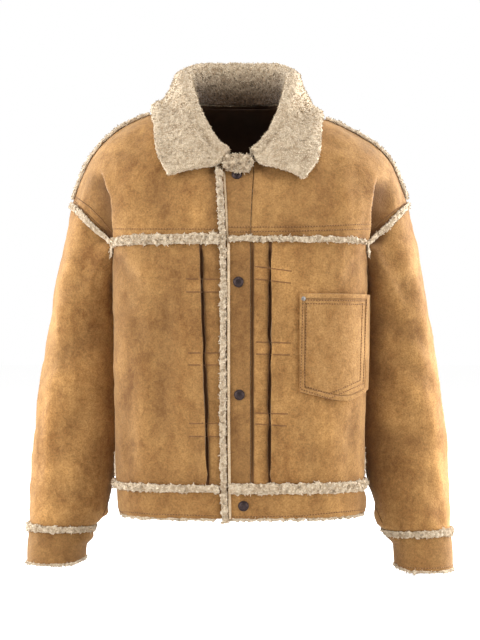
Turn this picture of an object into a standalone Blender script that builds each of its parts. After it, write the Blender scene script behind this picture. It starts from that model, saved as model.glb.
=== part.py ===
"""A shearling jacket with a wide turned-down collar, hollow, in the shape that it has when worn.

Frame: metres, +Z up, -Y is the front and +X is the wearer's left. The origin lies midway between the
two points where the shoulder seams meet the neck, which is where a wearer's shoulders carry it.

Every cloth piece is a wall lofted through sections of one figure: outlines of the body at named heights,
the armhole, the sleeve's sections and the neck. The walls' faces are written out rather than made by a
Solidify modifier, because a wall must share its edge's direction with the next piece at each seam, and
because the fronts' inner faces differ from their outer ones at the pleats. Pieces keep SEAM_GAP between
them.
"""

import math

import bmesh
import bpy
import numpy as np
from mathutils import Matrix, Vector
from mathutils.bvhtree import BVHTree


def table(columns, *rows):
    """A small table as a dictionary of its named columns."""
    return dict(zip(columns.split(), np.array(rows, float).T))


# ---- driving sizes, in metres ----
SKIN = 0.004  # shearling: the suede skin and its clipped pile
SEAM_GAP = 0.0003  # between pieces at a seam
SEAM_DRAW = 0.0005  # how much further a wall's inner edge draws back from a seam
FOLD_GAPS = 3  # and stands this many times SEAM_GAP back from it
MITRE_LIMIT = 0.55  # at a sharper seam than this cosine, each wall keeps its own normal
TRIM_LIFT = (0.0012, 0.0004)  # from the cloth to the wool on it, at its sides and over the seam

HEM_Z = -0.690
WAIST_Z = -0.640  # seam of body and waistband
ARMPIT_Z = -0.305
YOKE_Z = -0.236  # yoke seam, which is also the level of the armhole's widest points

# The body's outline at each height: a squared oval, pressed in where the arm hangs.
BODY = table(
    "z half_width front back arm_press",
    (-0.690, 0.2085, 0.139, 0.131, 0.005),  # hem
    (-0.645, 0.2120, 0.146, 0.137, 0.009),  # top of the waistband
    (-0.600, 0.2150, 0.150, 0.141, 0.018),
    (-0.500, 0.2180, 0.153, 0.146, 0.027),  # waist
    (-0.380, 0.2200, 0.152, 0.150, 0.030),  # ribs
    (-0.305, 0.2210, 0.150, 0.153, 0.031),  # armpit
    (-0.236, 0.2210, 0.146, 0.154, 0.026),  # yoke seam
)
FRONT_SQUARENESS = 3.0
BACK_SQUARENESS = 2.6
ARM_Y = 0.022  # depth at which the arm presses the side
ARM_SPREAD = 0.055
OUTLINE_POINTS = 241

# The armhole: lowest at the side seam, widest at the yoke seam, highest at the tip of the shoulder.
SIDE_Y = -0.020
SIDE_FORWARD = 0.038  # how far the side seam has swung forward at the waist
SIDE_SWING_Z = (-0.365, -0.610)  # and between which heights it does so
ARMHOLE_FRONT_Y = -0.070
ARMHOLE_BACK_Y = 0.086
ARMHOLE_STEPS = 4  # between the side seam and the yoke seam
CAP_STEPS = 6  # between the yoke seam and the shoulder seam
CAP_ROWS = tuple(k / CAP_STEPS for k in range(CAP_STEPS + 1))

# The shoulder seam, from the neck to the armhole.
SHOULDER = table(
    "x y z",
    (0.084, 0.000, 0.000),
    (0.148, 0.003, -0.018),
    (0.209, 0.006, -0.046),
    (0.245, 0.009, -0.077),
    (0.268, 0.011, -0.118),
    (0.287, 0.012, -0.171),
)

NECK_HALF_WIDTH = 0.084
NECK_FRONT_Y = 0.106
NECK_BACK_Y = 0.082
NECK_DROP = 0.106  # from the shoulder seam to the throat
NECK_RISE = 0.005  # from the shoulder seam to the nape
NECK_REACH = 0.0965  # cloth at the yoke seam that belongs to the neck, the rest to the shoulder

# Columns of cloth between NECK_REACH and the side edge, as fractions.
SPREAD = (0.0, 0.16, 0.32, 0.46, 0.58, 0.69, 0.79, 0.90, 1.0)
BACK_COLUMNS = [0.0, 0.026, 0.052, 0.076]  # and between the centre and NECK_REACH
YOKE_COLUMNS = [0.0172, 0.030, 0.045, 0.060, 0.078]
# On the right, from below the placket.
UNDER_COLUMNS = [-0.0145, 0.0180, 0.0300, 0.0380, 0.0520, 0.0660, 0.0780]

# Above the yoke seam each column of cloth is a cubic. These are its tangents at its foot and its top:
# outward and forward in metres, the rest as shares of its rise and its run. A pair holds the share at the
# neck and what is added on the shoulder.
CAP_FOOT_OUT = 0.09
CAP_TOP_OUT = 0.03
CAP_FRONT = {"foot_y": -0.01, "foot_z": (1.15, 0.35), "top_y": (1.2, 0.35), "top_z": (0.9, -0.75)}
CAP_BACK = {"foot_y": 0.02, "foot_z": (1.25, 0.25), "top_y": (1.55, 0.0), "top_z": (0.45, -0.30)}
CAP_OUT_FROM = 0.55  # share of the half width beyond which the outward tangents grow

# The sleeve below the armhole, and the cuff.
SLEEVE = table(
    "z outer_x inner_x centre_y half_depth",
    (-0.726, 0.3590, 0.2570, 0.000, 0.047),  # turned in to meet the cuff
    (-0.714, 0.3580, 0.2350, 0.003, 0.055),
    (-0.690, 0.3580, 0.2250, 0.006, 0.060),
    (-0.640, 0.3580, 0.2135, 0.014, 0.066),
    (-0.580, 0.3550, 0.2045, 0.022, 0.071),
    (-0.500, 0.3475, 0.2000, 0.028, 0.075),  # elbow
    (-0.420, 0.3365, 0.1985, 0.027, 0.078),
    (-0.345, 0.3225, 0.1995, 0.023, 0.080),  # below the armhole
)
SLEEVE_LEVELS = (-0.345, -0.385, -0.425, -0.465, -0.505, -0.55, -0.60, -0.65, -0.69, -0.714, -0.726)
SLEEVE_CAP_ROWS = 3  # between the armhole and the first level
SLEEVE_DROP = (0.28, 0.0, -0.96)  # direction in which the sleeve leaves the top of the armhole
ARMPIT_DROP = (0.85, 0.0, -0.55)  # and the armpit
CUFF = table(
    "z outer_x inner_x centre_y half_depth",
    (-0.788, 0.3620, 0.2600, -0.004, 0.047),
    (-0.760, 0.3625, 0.2590, -0.002, 0.047),
    (-0.726, 0.3590, 0.2570, 0.000, 0.047),
)
CUFF_LEVELS = (-0.788, -0.760, -0.726)

# Heights of the panels' rows below the armpit. The fronts have one at each tab of their pleat, and all
# have one at each height in SIDE_SEAM, between which the side seam is straight.
BODY_LEVELS = {
    "left": (-0.640, -0.627, -0.600, -0.563, -0.527, -0.500, -0.470, -0.440, -0.411, -0.372, -0.335),
    "right": (-0.640, -0.627, -0.600, -0.572, -0.545, -0.508, -0.470, -0.450, -0.430, -0.400, -0.372)
    + (-0.335,),
    "back": (-0.640, -0.600, -0.555, -0.512, -0.470, -0.421, -0.372, -0.335),
}
SIDE_SEAM = (-0.640, -0.600, -0.470, -0.372, -0.305)

# The largest folds, as lines in the front view. They press the cloth towards the body's middle.
FOLDS = table(
    "x0 z0 x1 z1 width depth back",
    (0.223, -0.214, 0.236, -0.135, 0.014, 0.018, 0),  # in front of the arm
    (0.246, -0.205, 0.248, -0.125, 0.010, 0.007, 0),  # beside it, on the sleeve cap
    (0.205, -0.205, 0.222, -0.130, 0.015, 0.010, 1),  # behind the arm
    (0.232, -0.400, 0.300, -0.455, 0.014, 0.006, 0),  # front of the elbow
    (0.228, -0.520, 0.305, -0.560, 0.016, 0.005, 0),
    (0.240, -0.340, 0.300, -0.375, 0.016, 0.004, 0),
    (0.240, -0.470, 0.335, -0.500, 0.014, 0.005, 1),  # back of the elbow
    (0.250, -0.560, 0.340, -0.545, 0.015, 0.004, 1),
)
FOLD_SHOWN = (0.015, 0.045)  # depths from the middle between which a fold grows
FOLD_ENDS = (1.0, 0.55)  # shares of its length between which it grows

# The front edges. The wearer's left front lies on top.
PLACKET_COLUMNS = (-0.0190, -0.006, 0.006, 0.0168)
PLACKET_ROWS = 12
BAND_LEVELS = (HEM_Z, -0.668, WAIST_Z)
PLACKET_PROUD = 0.0010
PLACKET_SKIN = 0.0034
UNDER_DIP = 0.0034  # how far the right front is pressed in below the placket
UNDER_DIP_END = (0.020, 0.036)  # distances from the centre between which that dies away
UNDER_THIN = 0.85  # share of the dip by which the inner face moves too
FRONT_COLUMNS = [0.0172, 0.0212, 0.0236]  # the left front's first ones, beside the placket

# The pleats. Each is a folded edge that stands over a gap, with a flat strip beside it, and three
# stitched tabs hold it shut. top and foot are the fold's distances from the centre front, past that of
# the column beyond it.
PLEAT = {
    "left": {"top": 0.0490, "foot": 0.0485, "past": 0.074, "tabs": (-0.294, -0.411, -0.527)},
    "right": {"top": 0.0640, "foot": 0.0520, "past": 0.084, "tabs": (-0.312, -0.430, -0.545)},
}
PLEAT_DEPTH = 0.0055
PLEAT_RISE = 0.0040  # the folded edge over the panel
PLEAT_NARROW = 0.0008  # half of the gap at a tab
PLEAT_WIDE = 0.0024  # half of the gap between tabs
PLEAT_REACH = 0.022  # how far from the fold its rise dies away
PLEAT_EDGE = 0.0012  # width of the folded edge's rounding
PLEAT_EDGE_SHARE = 0.62  # of the rise, at the start of the rounding
PLEAT_LIP = 0.0016  # width of the strip's rounding
PLEAT_LIP_DROP = 0.0008
PLEAT_BEFORE = 0.012  # from the fold to the column before it
PLEAT_AFTER = 0.008  # and after it
PLEAT_BACK = 0.0045  # thickness added behind the gap, where the cloth is doubled
PLEAT_BACK_REACH = 0.016
TAB_HOLD = 0.014  # reach of a tab's hold on the gap
GAP_GROWS = 0.03  # distance below the yoke seam over which the gap opens
SEAM_CLEAR = 0.013  # no relief within this distance of a seam
SEAM_FADE = 0.014  # over which it then grows
CHANNEL = 0.0030  # depth of the groove beside the placket
CHANNEL_END = 0.022
CHANNEL_BACK = 0.0015  # thickness added behind it

# The chest pocket, on the wearer's left front.
POCKET_TOP_Z = -0.325
POCKET_CORNER_Z = -0.482
POCKET_POINT_Z = -0.501
POCKET_POINT_AT = 0.45  # of the width, from the inner edge
POCKET_COLUMNS = (0, 6)  # in SPREAD
POCKET_ROWS = (0.0, 0.055, 0.12, 0.36, 0.62, 0.88, 0.945, 1.0)  # shares of its height
POCKET_EDGE = 0.09  # width of its turned edge, as a share of a column
POCKET_SKIN = 0.0028
POCKET_RIM = 0.0012  # rise of the turned edge
POCKET_LIFT = 0.0008  # from the panel to the pocket

# The collar. q runs from 1 at the wearer's left throat through 0 at the nape.
COLLAR_SKIN = 0.0090  # hide with long wool on its face
COLLAR = table(
    "q stand fold edge_x edge_y edge_z",
    (0.00, 0.067, 0.0045, 0.000, 0.136, -0.012),
    (0.25, 0.064, 0.0045, 0.106, 0.100, -0.014),
    (0.50, 0.052, 0.0045, 0.139, 0.006, -0.024),
    (0.70, 0.031, 0.0040, 0.135, -0.062, -0.062),
    (0.88, 0.010, 0.0030, 0.122, -0.105, -0.112),
    (1.00, 0.004, 0.0020, 0.104, -0.128, -0.139),
)
COLLAR_END_ANGLE = 76.0  # degrees from the side, at the throat
COLLAR_LEAN = 10.0  # degrees outward
COLLAR_CLEAR = 0.0022
COLLAR_STATIONS = 31
COLLAR_FALL_FROM = 3  # index in a section from which it must lie clear of the body
COLLAR_PASSES = 3
STAND_PLACES = (0.0, 0.33, 0.67)
FOLD_TURNS = (0, 50, 100, 150)  # degrees
FALL_POINTS = 6
FALL_SWELL = 0.35  # how far outward the fall starts
THROAT_LIFT_FROM = (0.86, 0.97)  # places along the collar between which THROAT_LIFT grows
THROAT_LIFT = 0.0018  # how much further the collar's ends stand off the seam
POINT_SKEW_FROM = (0.6, 1.0)
POINT_SKEW_X = 0.012  # the right collar point lies this much further out than the left
POINT_SKEW_Z = 0.006

FACING_SKIN = 0.002
FACING_INSET = (0.0016, 0.0030)  # of its two faces, from the seams round it
FACING_FOOT_Z = -0.15
FACING_COLUMNS = 6  # on each side of the centre back

# Wool along the seams: half of its width on each side of the seam, and its height.
TRIM = {
    "yoke_left": (0.0065, 0.0050),
    "yoke_right": (0.0090, 0.0060),
    "armhole": (0.0070, 0.0055),
    "shoulder": (0.0050, 0.0038),
    "side": (0.0055, 0.0050),
    "waist_left": (0.0095, 0.0065),
    "waist_back": (0.0070, 0.0050),
    "waist_right": (0.0070, 0.0055),
    "cuff": (0.0090, 0.0050),
}
SIDE_TRIM_TOP_Z = -0.35
SHOULDER_PLACES = (1.62, 2, 3, 4, 5, 6, 7, 7.6)  # its stations, as places in SPREAD
PLACKET_TRIM_ROWS = (1, 2, 3, 4, 4.3)  # of the yoke, up to just below the collar
PLACKET_TRIM_END = 0.0012  # its height there
PLACKET_TRIM = (0.0370, 0.0285, 0.0194)  # its outer edge, middle and inner edge, from the centre front
PLACKET_TRIM_HEIGHT = 0.0052
PLACKET_TRIM_SHOULDER = 1.1  # beside the placket, as a share of that
TRIM_END_CLEAR = 0.0022  # between a yoke trim's end and the armhole's wool
BEAD_SIDE = 0.18  # how far in the sides of a bead's top stand, as a share of its half width
BEAD_SHOULDER = 0.62  # their height, as a share of its own
HANG = 0.0085  # how far the wool hangs below the hem and the cuffs
HANG_SWELL = 0.0018  # how far it stands out on both sides of the wall
HANG_WAIST = 0.45  # where it is widest, as a share of HANG
HEM_WOOL_STOP = 3  # columns before the band's right end at which the hem's wool ends
THROAT_WOOL = {"place": (-0.002, -0.1162, -0.1060), "radii": (0.0170, 0.0070, 0.0130)}

SNAP_RADIUS = 0.0084
SNAP_HEIGHT = 0.0032
SNAP_REACH = 0.006  # of the cloth above and below that gives its axis
TURN_STEPS = 14
CAP_PROFILE = ((0.0, 0.0), (1.0, 0.0), (1.0, 0.3), (0.72, 0.8), (0.0, 1.0))  # shares of radius and height
SNAPS = table(
    "x z",
    (-0.0050, -0.1290),
    (-0.0024, -0.3054),
    (-0.0008, -0.4877),
    (0.0057, -0.6680),
)
SNAP_NAMES = ("snap_neck", "snap_chest", "snap_middle", "snap_waist")
RIVET_RADIUS = 0.0038
RIVET_HEIGHT = 0.0018
RIVET_INSET = 0.17  # in from the pocket's corner, as a share of its first column
RIVET_Z = -0.3325

LOOKS = {
    "suede": {"colour": (0.55, 0.30, 0.12), "roughness": 0.9},
    "wool": {"colour": (0.76, 0.66, 0.52), "roughness": 1.0},
    "lining": {"colour": (0.05, 0.03, 0.015), "roughness": 0.7},
    "snap_metal": {"colour": (0.06, 0.045, 0.04), "roughness": 0.4, "metallic": 0.9},
    "rivet_metal": {"colour": (0.35, 0.33, 0.30), "roughness": 0.35, "metallic": 0.9},
}


# ---- curves ----
def ease(start, end, value):
    """0 below start, 1 above end, and smooth between."""
    t = np.clip((value - start) / (end - start), 0.0, 1.0)
    return t * t * (3 - 2 * t)


def hermite(p0, p1, m0, m1, t):
    """The cubic from p0 to p1 with end tangents m0 and m1."""
    t2, t3 = t * t, t * t * t
    return (2 * t3 - 3 * t2 + 1) * p0 + (t3 - 2 * t2 + t) * m0 + (3 * t2 - 2 * t3) * p1 + (t3 - t2) * m1


def through(x, xs, ys):
    """A smooth curve through the points (xs, ys), read at x."""
    i = int(np.clip(np.searchsorted(xs, x) - 1, 0, len(xs) - 2))
    step = xs[i + 1] - xs[i]
    slopes = np.gradient(ys, xs)
    t = np.clip((x - xs[i]) / step, 0.0, 1.0)
    return hermite(ys[i], ys[i + 1], slopes[i] * step, slopes[i + 1] * step, t)


def read(rows, key, x):
    """All other columns of a table at x, measured in its column key."""
    order = np.argsort(rows[key])
    return {name: through(x, rows[key][order], rows[name][order]) for name in rows if name != key}


def lengths(points):
    """Distance along a line of points, from its first."""
    return np.concatenate([[0.0], np.cumsum(np.linalg.norm(np.diff(points, axis=0), axis=1))])


def point_at(points, distance):
    """The point that lies this far along a line of points."""
    along = lengths(points)
    return np.array([np.interp(distance, along, points[:, k]) for k in range(3)])


def at_height(z, heights, points):
    """The point at height z of a line of points, whose heights rise."""
    return np.array([np.interp(z, heights, points[:, a]) for a in range(3)])


# ---- the figure ----
def ring(z):
    """The body's outline at height z on the wearer's left, from centre front to centre back."""
    size = read(BODY, "z", z)
    angle = np.radians(np.linspace(-90, 90, OUTLINE_POINTS))
    power = 2 / np.where(angle < 0, FRONT_SQUARENESS, BACK_SQUARENESS)
    depth = np.where(angle < 0, size["front"], size["back"])
    y = depth * np.sign(angle) * np.abs(np.sin(angle)) ** power
    x = size["half_width"] * np.abs(np.cos(angle)) ** power
    x = x - size["arm_press"] * np.exp(-(((y - ARM_Y) / ARM_SPREAD) ** 2)) * np.cos(angle) ** 2
    return np.column_stack([np.maximum(x, 0.0), y, np.full(len(x), z)])


def side_edge_y(z, back):
    """Depth of the side seam at height z or, above the armpit, of the armhole."""
    if z <= ARMPIT_Z:
        return SIDE_Y - SIDE_FORWARD * float(ease(*SIDE_SWING_Z, z))
    drop = (YOKE_Z - z) / (YOKE_Z - ARMPIT_Z)
    widest = ARMHOLE_BACK_Y if back else ARMHOLE_FRONT_Y
    return SIDE_Y + (widest - SIDE_Y) * math.sqrt(max(0.0, 1 - drop * drop))


def half_outline(z, back):
    """The outline at height z from the centre line to the side edge."""
    points = ring(z)
    edge = side_edge_y(z, back)
    depth = points[:, 1]
    cut = np.array([np.interp(edge, depth, points[:, k]) for k in range(3)])
    if back:
        return np.vstack([points[depth > edge + 1e-6][::-1], cut])
    return np.vstack([points[depth < edge - 1e-6], cut])


def armhole_levels():
    """Heights between the armpit and the yoke seam, even along the armhole's curve."""
    turns = np.radians(np.linspace(0, 90, ARMHOLE_STEPS + 1))
    return [YOKE_Z - (YOKE_Z - ARMPIT_Z) * math.cos(turn) for turn in turns]


def neck(angle):
    """A point of the neck seam. The angle is -90 at the throat, 0 at the shoulder and 90 at the nape."""
    turn = math.radians(angle)
    if angle < 0:
        y = NECK_FRONT_Y * math.sin(turn)
        z = -NECK_DROP * abs(math.sin(turn)) ** 1.6
    else:
        y = NECK_BACK_Y * math.sin(turn)
        z = NECK_RISE * math.sin(turn)
    return np.array([NECK_HALF_WIDTH * math.cos(turn), y, z])


def shoulder(fraction):
    """A point of the shoulder seam, from the neck at 0 to the armhole at 1."""
    along = lengths(np.column_stack([SHOULDER[k] for k in "xyz"]))
    distance = fraction * along[-1]
    return np.array([through(distance, along, SHOULDER[k]) for k in "xyz"])


def drape(points):
    """Presses the largest folds into points, on both sides of the body."""
    moved = np.array(points, float)
    x, y, z = np.abs(moved[..., 0]), moved[..., 1], moved[..., 2]
    for i in range(len(FOLDS["x0"])):
        fold = {name: FOLDS[name][i] for name in FOLDS}
        start = np.array([fold["x0"], fold["z0"]])
        line = np.array([fold["x1"], fold["z1"]]) - start
        offset = np.stack([x, z], -1) - start
        t = np.clip(offset @ line / (line @ line), 0.0, 1.0)
        away = np.linalg.norm(offset - t[..., None] * line, axis=-1)
        side = 1.0 if fold["back"] else -1.0
        shown = ease(*FOLD_SHOWN, y * side)
        fade = ease(*FOLD_ENDS, t)
        moved[..., 1] -= side * fold["depth"] * np.exp(-((away / fold["width"]) ** 2)) * shown * fade
    return moved


def upper_point(column, v, back):
    """A point above the yoke seam. column is the share of the half width, v runs up to neck and shoulder."""
    outline = half_outline(YOKE_Z, back)
    total = lengths(outline)[-1]
    split = NECK_REACH / total
    foot = point_at(outline, column * total)
    if column < split:
        along = column / split
        top = neck((1 if back else -1) * 90 * (1 - along))
        over = ease(0.0, 1.0, along)
    else:
        top = shoulder((column - split) / (1 - split))
        over = 1.0
    rise, run = top[2] - foot[2], top[1] - foot[1]
    out = ease(CAP_OUT_FROM, 1.0, column)
    cap = CAP_BACK if back else CAP_FRONT

    def share(name):
        start, added = cap[name]
        return start + added * over

    m0 = np.array([CAP_FOOT_OUT * out, cap["foot_y"] * out, rise * share("foot_z")])
    m1 = np.array([CAP_TOP_OUT * out, run * share("top_y"), rise * share("top_z")])
    return hermite(foot, top, m0, m1, v)


def columns_at(z, inner, back):
    """Distances of a panel's columns from the centre at height z: inner ones as given, then the spread."""
    total = lengths(half_outline(z, back))[-1]
    return list(inner) + [NECK_REACH + f * (total - NECK_REACH) for f in SPREAD]


def lower_row(z, distances, back):
    """Points at these distances along the outline at height z. A distance below 0 lies past the centre."""
    outline = half_outline(z, back)
    row = []
    for distance in distances:
        point = point_at(outline, abs(distance))
        row.append(point * [math.copysign(1, distance), 1, 1])
    return row


def lower_grid(levels, inner_at, back):
    """Rows of a body panel below the yoke seam, and each point's distance from the centre."""
    distances = [columns_at(z, inner_at(z), back) for z in levels]
    rows = [lower_row(z, row, back) for z, row in zip(levels, distances)]
    return drape(rows), np.array(distances)


def upper_grid(inner, back, steps):
    """Rows of a panel from the yoke seam to the neck and shoulder."""
    total = lengths(half_outline(YOKE_Z, back))[-1]
    distances = columns_at(YOKE_Z, inner, back)
    rows = []
    for v in steps:
        row = []
        for distance in distances:
            point = upper_point(abs(distance) / total, v, back)
            row.append(point * [math.copysign(1, distance), 1, 1])
        rows.append(row)
    return drape(rows), np.array([distances] * len(rows))


# ---- walls ----
def unit(vectors):
    """Vectors scaled to length one."""
    return vectors / np.linalg.norm(vectors, axis=-1, keepdims=True)


def normals(grid):
    """Unit normals of a grid of rows. They point outwards if columns run to the wearer's left in front."""
    along = np.gradient(grid, axis=1)
    up = np.gradient(grid, axis=0)
    cross = np.cross(along, up)
    return cross / np.linalg.norm(cross, axis=-1, keepdims=True)


def round_normals(grid):
    """Unit normals of a grid whose rows close on themselves."""
    wrapped = np.concatenate([grid[:, -1:], grid, grid[:, :1]], axis=1)
    return normals(wrapped)[:, 1:-1]


def drawn_in(grid, distance, sides="udlr"):
    """The grid with its edges moved inwards by this distance, square to each edge. sides names the edges."""
    moved = np.array(grid, float)

    def shift(edge, inside):
        along = unit(np.gradient(edge, axis=0))
        step = inside - edge
        step = step - along * np.sum(step * along, axis=-1, keepdims=True)
        return unit(step) * distance

    if "d" in sides:
        moved[0] += shift(grid[0], grid[1])
    if "u" in sides:
        moved[-1] += shift(grid[-1], grid[-2])
    if "l" in sides:
        moved[:, 0] += shift(grid[:, 0], grid[:, 1])
    if "r" in sides:
        moved[:, -1] += shift(grid[:, -1], grid[:, -2])
    return moved


def mitred(grids, outs):
    """Normals of several grids, shared where their points meet, so that walls along a seam are mitred. At
    a fold too sharp for that, each grid keeps its own and is moved in to leave a gap."""
    shared = {}
    for grid, out in zip(grids, outs):
        for i in np.ndindex(grid.shape[:2]):
            shared.setdefault(tuple(np.round(grid[i], 5)), []).append(out[i])
    results = []
    for grid, out in zip(grids, outs):
        result = np.array(out)
        for i in np.ndindex(grid.shape[:2]):
            mean = unit(np.sum(shared[tuple(np.round(grid[i], 5))], axis=0))
            if mean @ out[i] > MITRE_LIMIT:
                result[i] = mean / (mean @ out[i])
            else:
                grid[i] -= out[i] * SEAM_GAP * FOLD_GAPS
        results.append(result)
    return results


def make_object(name, vertices, faces, material):
    """A named object from a closed set of faces, its normals turned outwards."""
    mesh = bpy.data.meshes.new(name)
    mesh.from_pydata([tuple(v) for v in vertices], [], faces)
    shape = bmesh.new()
    shape.from_mesh(mesh)
    bmesh.ops.recalc_face_normals(shape, faces=shape.faces)
    shape.to_mesh(mesh)
    shape.free()
    mesh.materials.append(material)
    mesh.shade_smooth()
    mesh.set_sharp_from_angle(angle=math.radians(40))
    made = bpy.data.objects.new(name, mesh)
    garment.objects.link(made)
    return made


def facets(grid, closed=False):
    """Triangles of a grid as triples of (row, column), each cell parted along its shorter diagonal."""
    rows, columns = grid.shape[:2]
    triangles = []
    for r in range(rows - 1):
        for c in range(columns if closed else columns - 1):
            after = (c + 1) % columns
            a, b, d, e = (r, c), (r, after), (r + 1, after), (r + 1, c)
            if np.linalg.norm(grid[a] - grid[d]) < np.linalg.norm(grid[b] - grid[e]):
                triangles += [(a, b, d), (a, d, e)]
            else:
                triangles += [(a, b, e), (b, d, e)]
    return triangles


def wall(name, outer, inner, material, closed=False):
    """A closed wall between two grids of the same size. closed joins its last column to its first."""
    rows, columns = outer.shape[:2]
    vertices = np.concatenate([outer.reshape(-1, 3), inner.reshape(-1, 3)])

    def at(place, side):
        return side * rows * columns + place[0] * columns + place[1] % columns

    faces = []
    for triangle in facets(outer, closed):
        faces.append([at(place, 0) for place in triangle])
        faces.append([at(place, 1) for place in triangle[::-1]])
    rim = []
    for c in range(columns if closed else columns - 1):
        rim += [((0, c), (0, c + 1)), ((rows - 1, c + 1), (rows - 1, c))]
    for r in range(0 if closed else rows - 1):
        rim += [((r + 1, 0), (r, 0)), ((r, columns - 1), (r + 1, columns - 1))]
    for a, b in rim:
        faces.append((at(b, 0), at(a, 0), at(a, 1), at(b, 1)))
    return make_object(name, vertices, faces, material)


def plain_wall(name, grid, across, skin, material, sides="udlr", closed=False):
    """A wall of even thickness inside a grid, drawn in at its seams. across holds the mitred normals."""
    outer = drawn_in(grid, SEAM_GAP / 2, sides)
    inner = drawn_in(grid - across * skin, SEAM_GAP / 2 + SEAM_DRAW, sides)
    return wall(name, outer, inner, material, closed)


def bead(name, left, middle, right, out, height, closed=False, last_shoulder=BEAD_SHOULDER):
    """A strip of wool over a seam. left, middle and right are lines on the cloth, out their normals, and
    height is that of its middle. last_shoulder is the height of its right side, as a share of that."""
    out = unit(out)
    beside, over = TRIM_LIFT
    left, middle, right = left + out * beside, middle + out * over, right + out * beside
    tall = np.broadcast_to(np.reshape(height, (-1, 1)), (len(middle), 1))
    section = [
        left,
        middle,
        right,
        right + (middle - right) * BEAD_SIDE + out * tall * last_shoulder,
        middle + out * tall,
        left + (middle - left) * BEAD_SIDE + out * tall * BEAD_SHOULDER,
    ]
    return rope(name, np.stack(section, axis=1), closed)


def hanging_wool(name, outer, inner, out, closed=False):
    """The wool below a wall's lower edge. outer and inner are the edge's two lines."""
    out = unit(out)
    down = np.array([0.0, 0.0, -1.0])
    start = down * TRIM_LIFT[1]
    section = [
        outer + start,
        outer + out * HANG_SWELL + down * HANG * HANG_WAIST,
        (outer + inner) / 2 + down * HANG,
        inner - out * HANG_SWELL + down * HANG * HANG_WAIST,
        inner + start,
    ]
    return rope(name, np.stack(section, axis=1), closed)


def rope(name, section, closed):
    """A closed body from sections, each a loop of corners, one after another."""
    stations, corners = section.shape[:2]
    faces = []
    for s in range(stations if closed else stations - 1):
        after = (s + 1) % stations
        for c in range(corners):
            turn = (c + 1) % corners
            faces.append((s * corners + c, s * corners + turn, after * corners + turn, after * corners + c))
    if not closed:
        faces.append(tuple(range(corners)))
        faces.append(tuple(range((stations - 1) * corners, stations * corners)))
    return make_object(name, section.reshape(-1, 3), faces, materials["wool"])


def inward(grid, distance):
    """Points this far into a grid from its first row, one for each column."""
    return np.array([point_at(grid[:, c], distance) for c in range(grid.shape[1])])


def columns_between(grid, places):
    """Columns of a grid at these places, which may lie between two of its own."""
    columns = []
    for place in places:
        c = min(int(place), grid.shape[1] - 2)
        columns.append(grid[:, c] * (1 - place + c) + grid[:, c + 1] * (place - c))
    return np.stack(columns, axis=1)


def mirrored(grid):
    """The grid on the wearer's other side, with its columns turned round so that normals stay outwards."""
    return (grid * [-1, 1, 1])[:, ::-1]


# ---- relief of the fronts ----
def fold_at(side, z):
    """Distance of a pleat's fold from the centre front at height z."""
    pleat = PLEAT[side]
    return pleat["foot"] + (pleat["top"] - pleat["foot"]) * (z - WAIST_Z) / (YOKE_Z - WAIST_Z)


def gap_at(side, z):
    """Half of a pleat's gap at height z: narrow at the tabs and the seams, wide between."""
    held = max(math.exp(-(((z - tab) / TAB_HOLD) ** 2)) for tab in PLEAT[side]["tabs"])
    held = max(held, 1 - ease(0.0, GAP_GROWS, YOKE_Z - z))
    return PLEAT_WIDE + (PLEAT_NARROW - PLEAT_WIDE) * held


def pleat_columns(side, z):
    """Distances of the columns that shape a pleat."""
    fold, gap = fold_at(side, z), gap_at(side, z)
    return [
        fold - PLEAT_BEFORE,
        fold - gap - PLEAT_LIP,
        fold - gap,
        fold + gap,
        fold + gap + PLEAT_EDGE,
        fold + PLEAT_AFTER,
        PLEAT[side]["past"],
    ]


def left_columns(z):
    return FRONT_COLUMNS + pleat_columns("left", z)


def right_columns(z):
    return UNDER_COLUMNS[:4] + pleat_columns("right", z)


def under_dip(distance):
    """How far the right front is pressed in at this distance from the centre."""
    return UNDER_DIP * (1 - ease(*UNDER_DIP_END, distance))


def front_relief(side, distance, z):
    """(height of the outer face over the figure, depth of the inner face below it)."""
    fold, gap = fold_at(side, z), gap_at(side, z)
    shown = ease(SEAM_CLEAR, SEAM_CLEAR + SEAM_FADE, min(YOKE_Z - z, z - WAIST_Z))
    beyond = distance - fold
    height = 0.0
    if abs(beyond) <= gap + 1e-6:
        height = -PLEAT_DEPTH * shown
    elif beyond > 0:
        height = PLEAT_RISE * shown * math.exp(-(((beyond - gap) / PLEAT_REACH) ** 2))
        if beyond < gap + PLEAT_EDGE / 2:
            height *= PLEAT_EDGE_SHARE
    elif beyond > -gap - PLEAT_LIP * 1.5:
        height = -PLEAT_LIP_DROP * shown
    depth = SKIN + PLEAT_BACK * math.exp(-((beyond / PLEAT_BACK_REACH) ** 2)) * shown
    if side == "left" and distance < CHANNEL_END:
        height -= CHANNEL * shown
        depth += CHANNEL_BACK * shown
    if side == "right":
        height -= under_dip(distance)
        depth += UNDER_THIN * under_dip(distance)
    return height, depth


# ---- the base sheets of the body, in place ----
def levels_of(body):
    """Heights of a panel's rows: its own below the armpit, and then those that all panels share."""
    return list(body) + armhole_levels()[:-1] + [YOKE_Z - SEAM_CLEAR, YOKE_Z]


def back_sheet():
    """The whole back, from the waist seam to the neck and shoulders."""
    low, _ = lower_grid(levels_of(BODY_LEVELS["back"]), lambda z: BACK_COLUMNS, True)
    high, _ = upper_grid(BACK_COLUMNS, True, CAP_ROWS)
    half = np.concatenate([low, high[1:]])
    return np.concatenate([half[:, ::-1], (half * [-1, 1, 1])[:, 1:]], axis=1)


def sleeve_ring(rows, z, turns):
    """The outline of a sleeve or cuff at height z; turns are degrees, 0 outside, 90 in front."""
    size = read(rows, "z", z)
    centre_x = (size["outer_x"] + size["inner_x"]) / 2
    half_width = (size["outer_x"] - size["inner_x"]) / 2
    turn = np.radians(turns)
    x = centre_x + half_width * np.cos(turn)
    y = size["centre_y"] - size["half_depth"] * np.sin(turn)
    return np.column_stack([x, y, np.full(len(x), z)])


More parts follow.
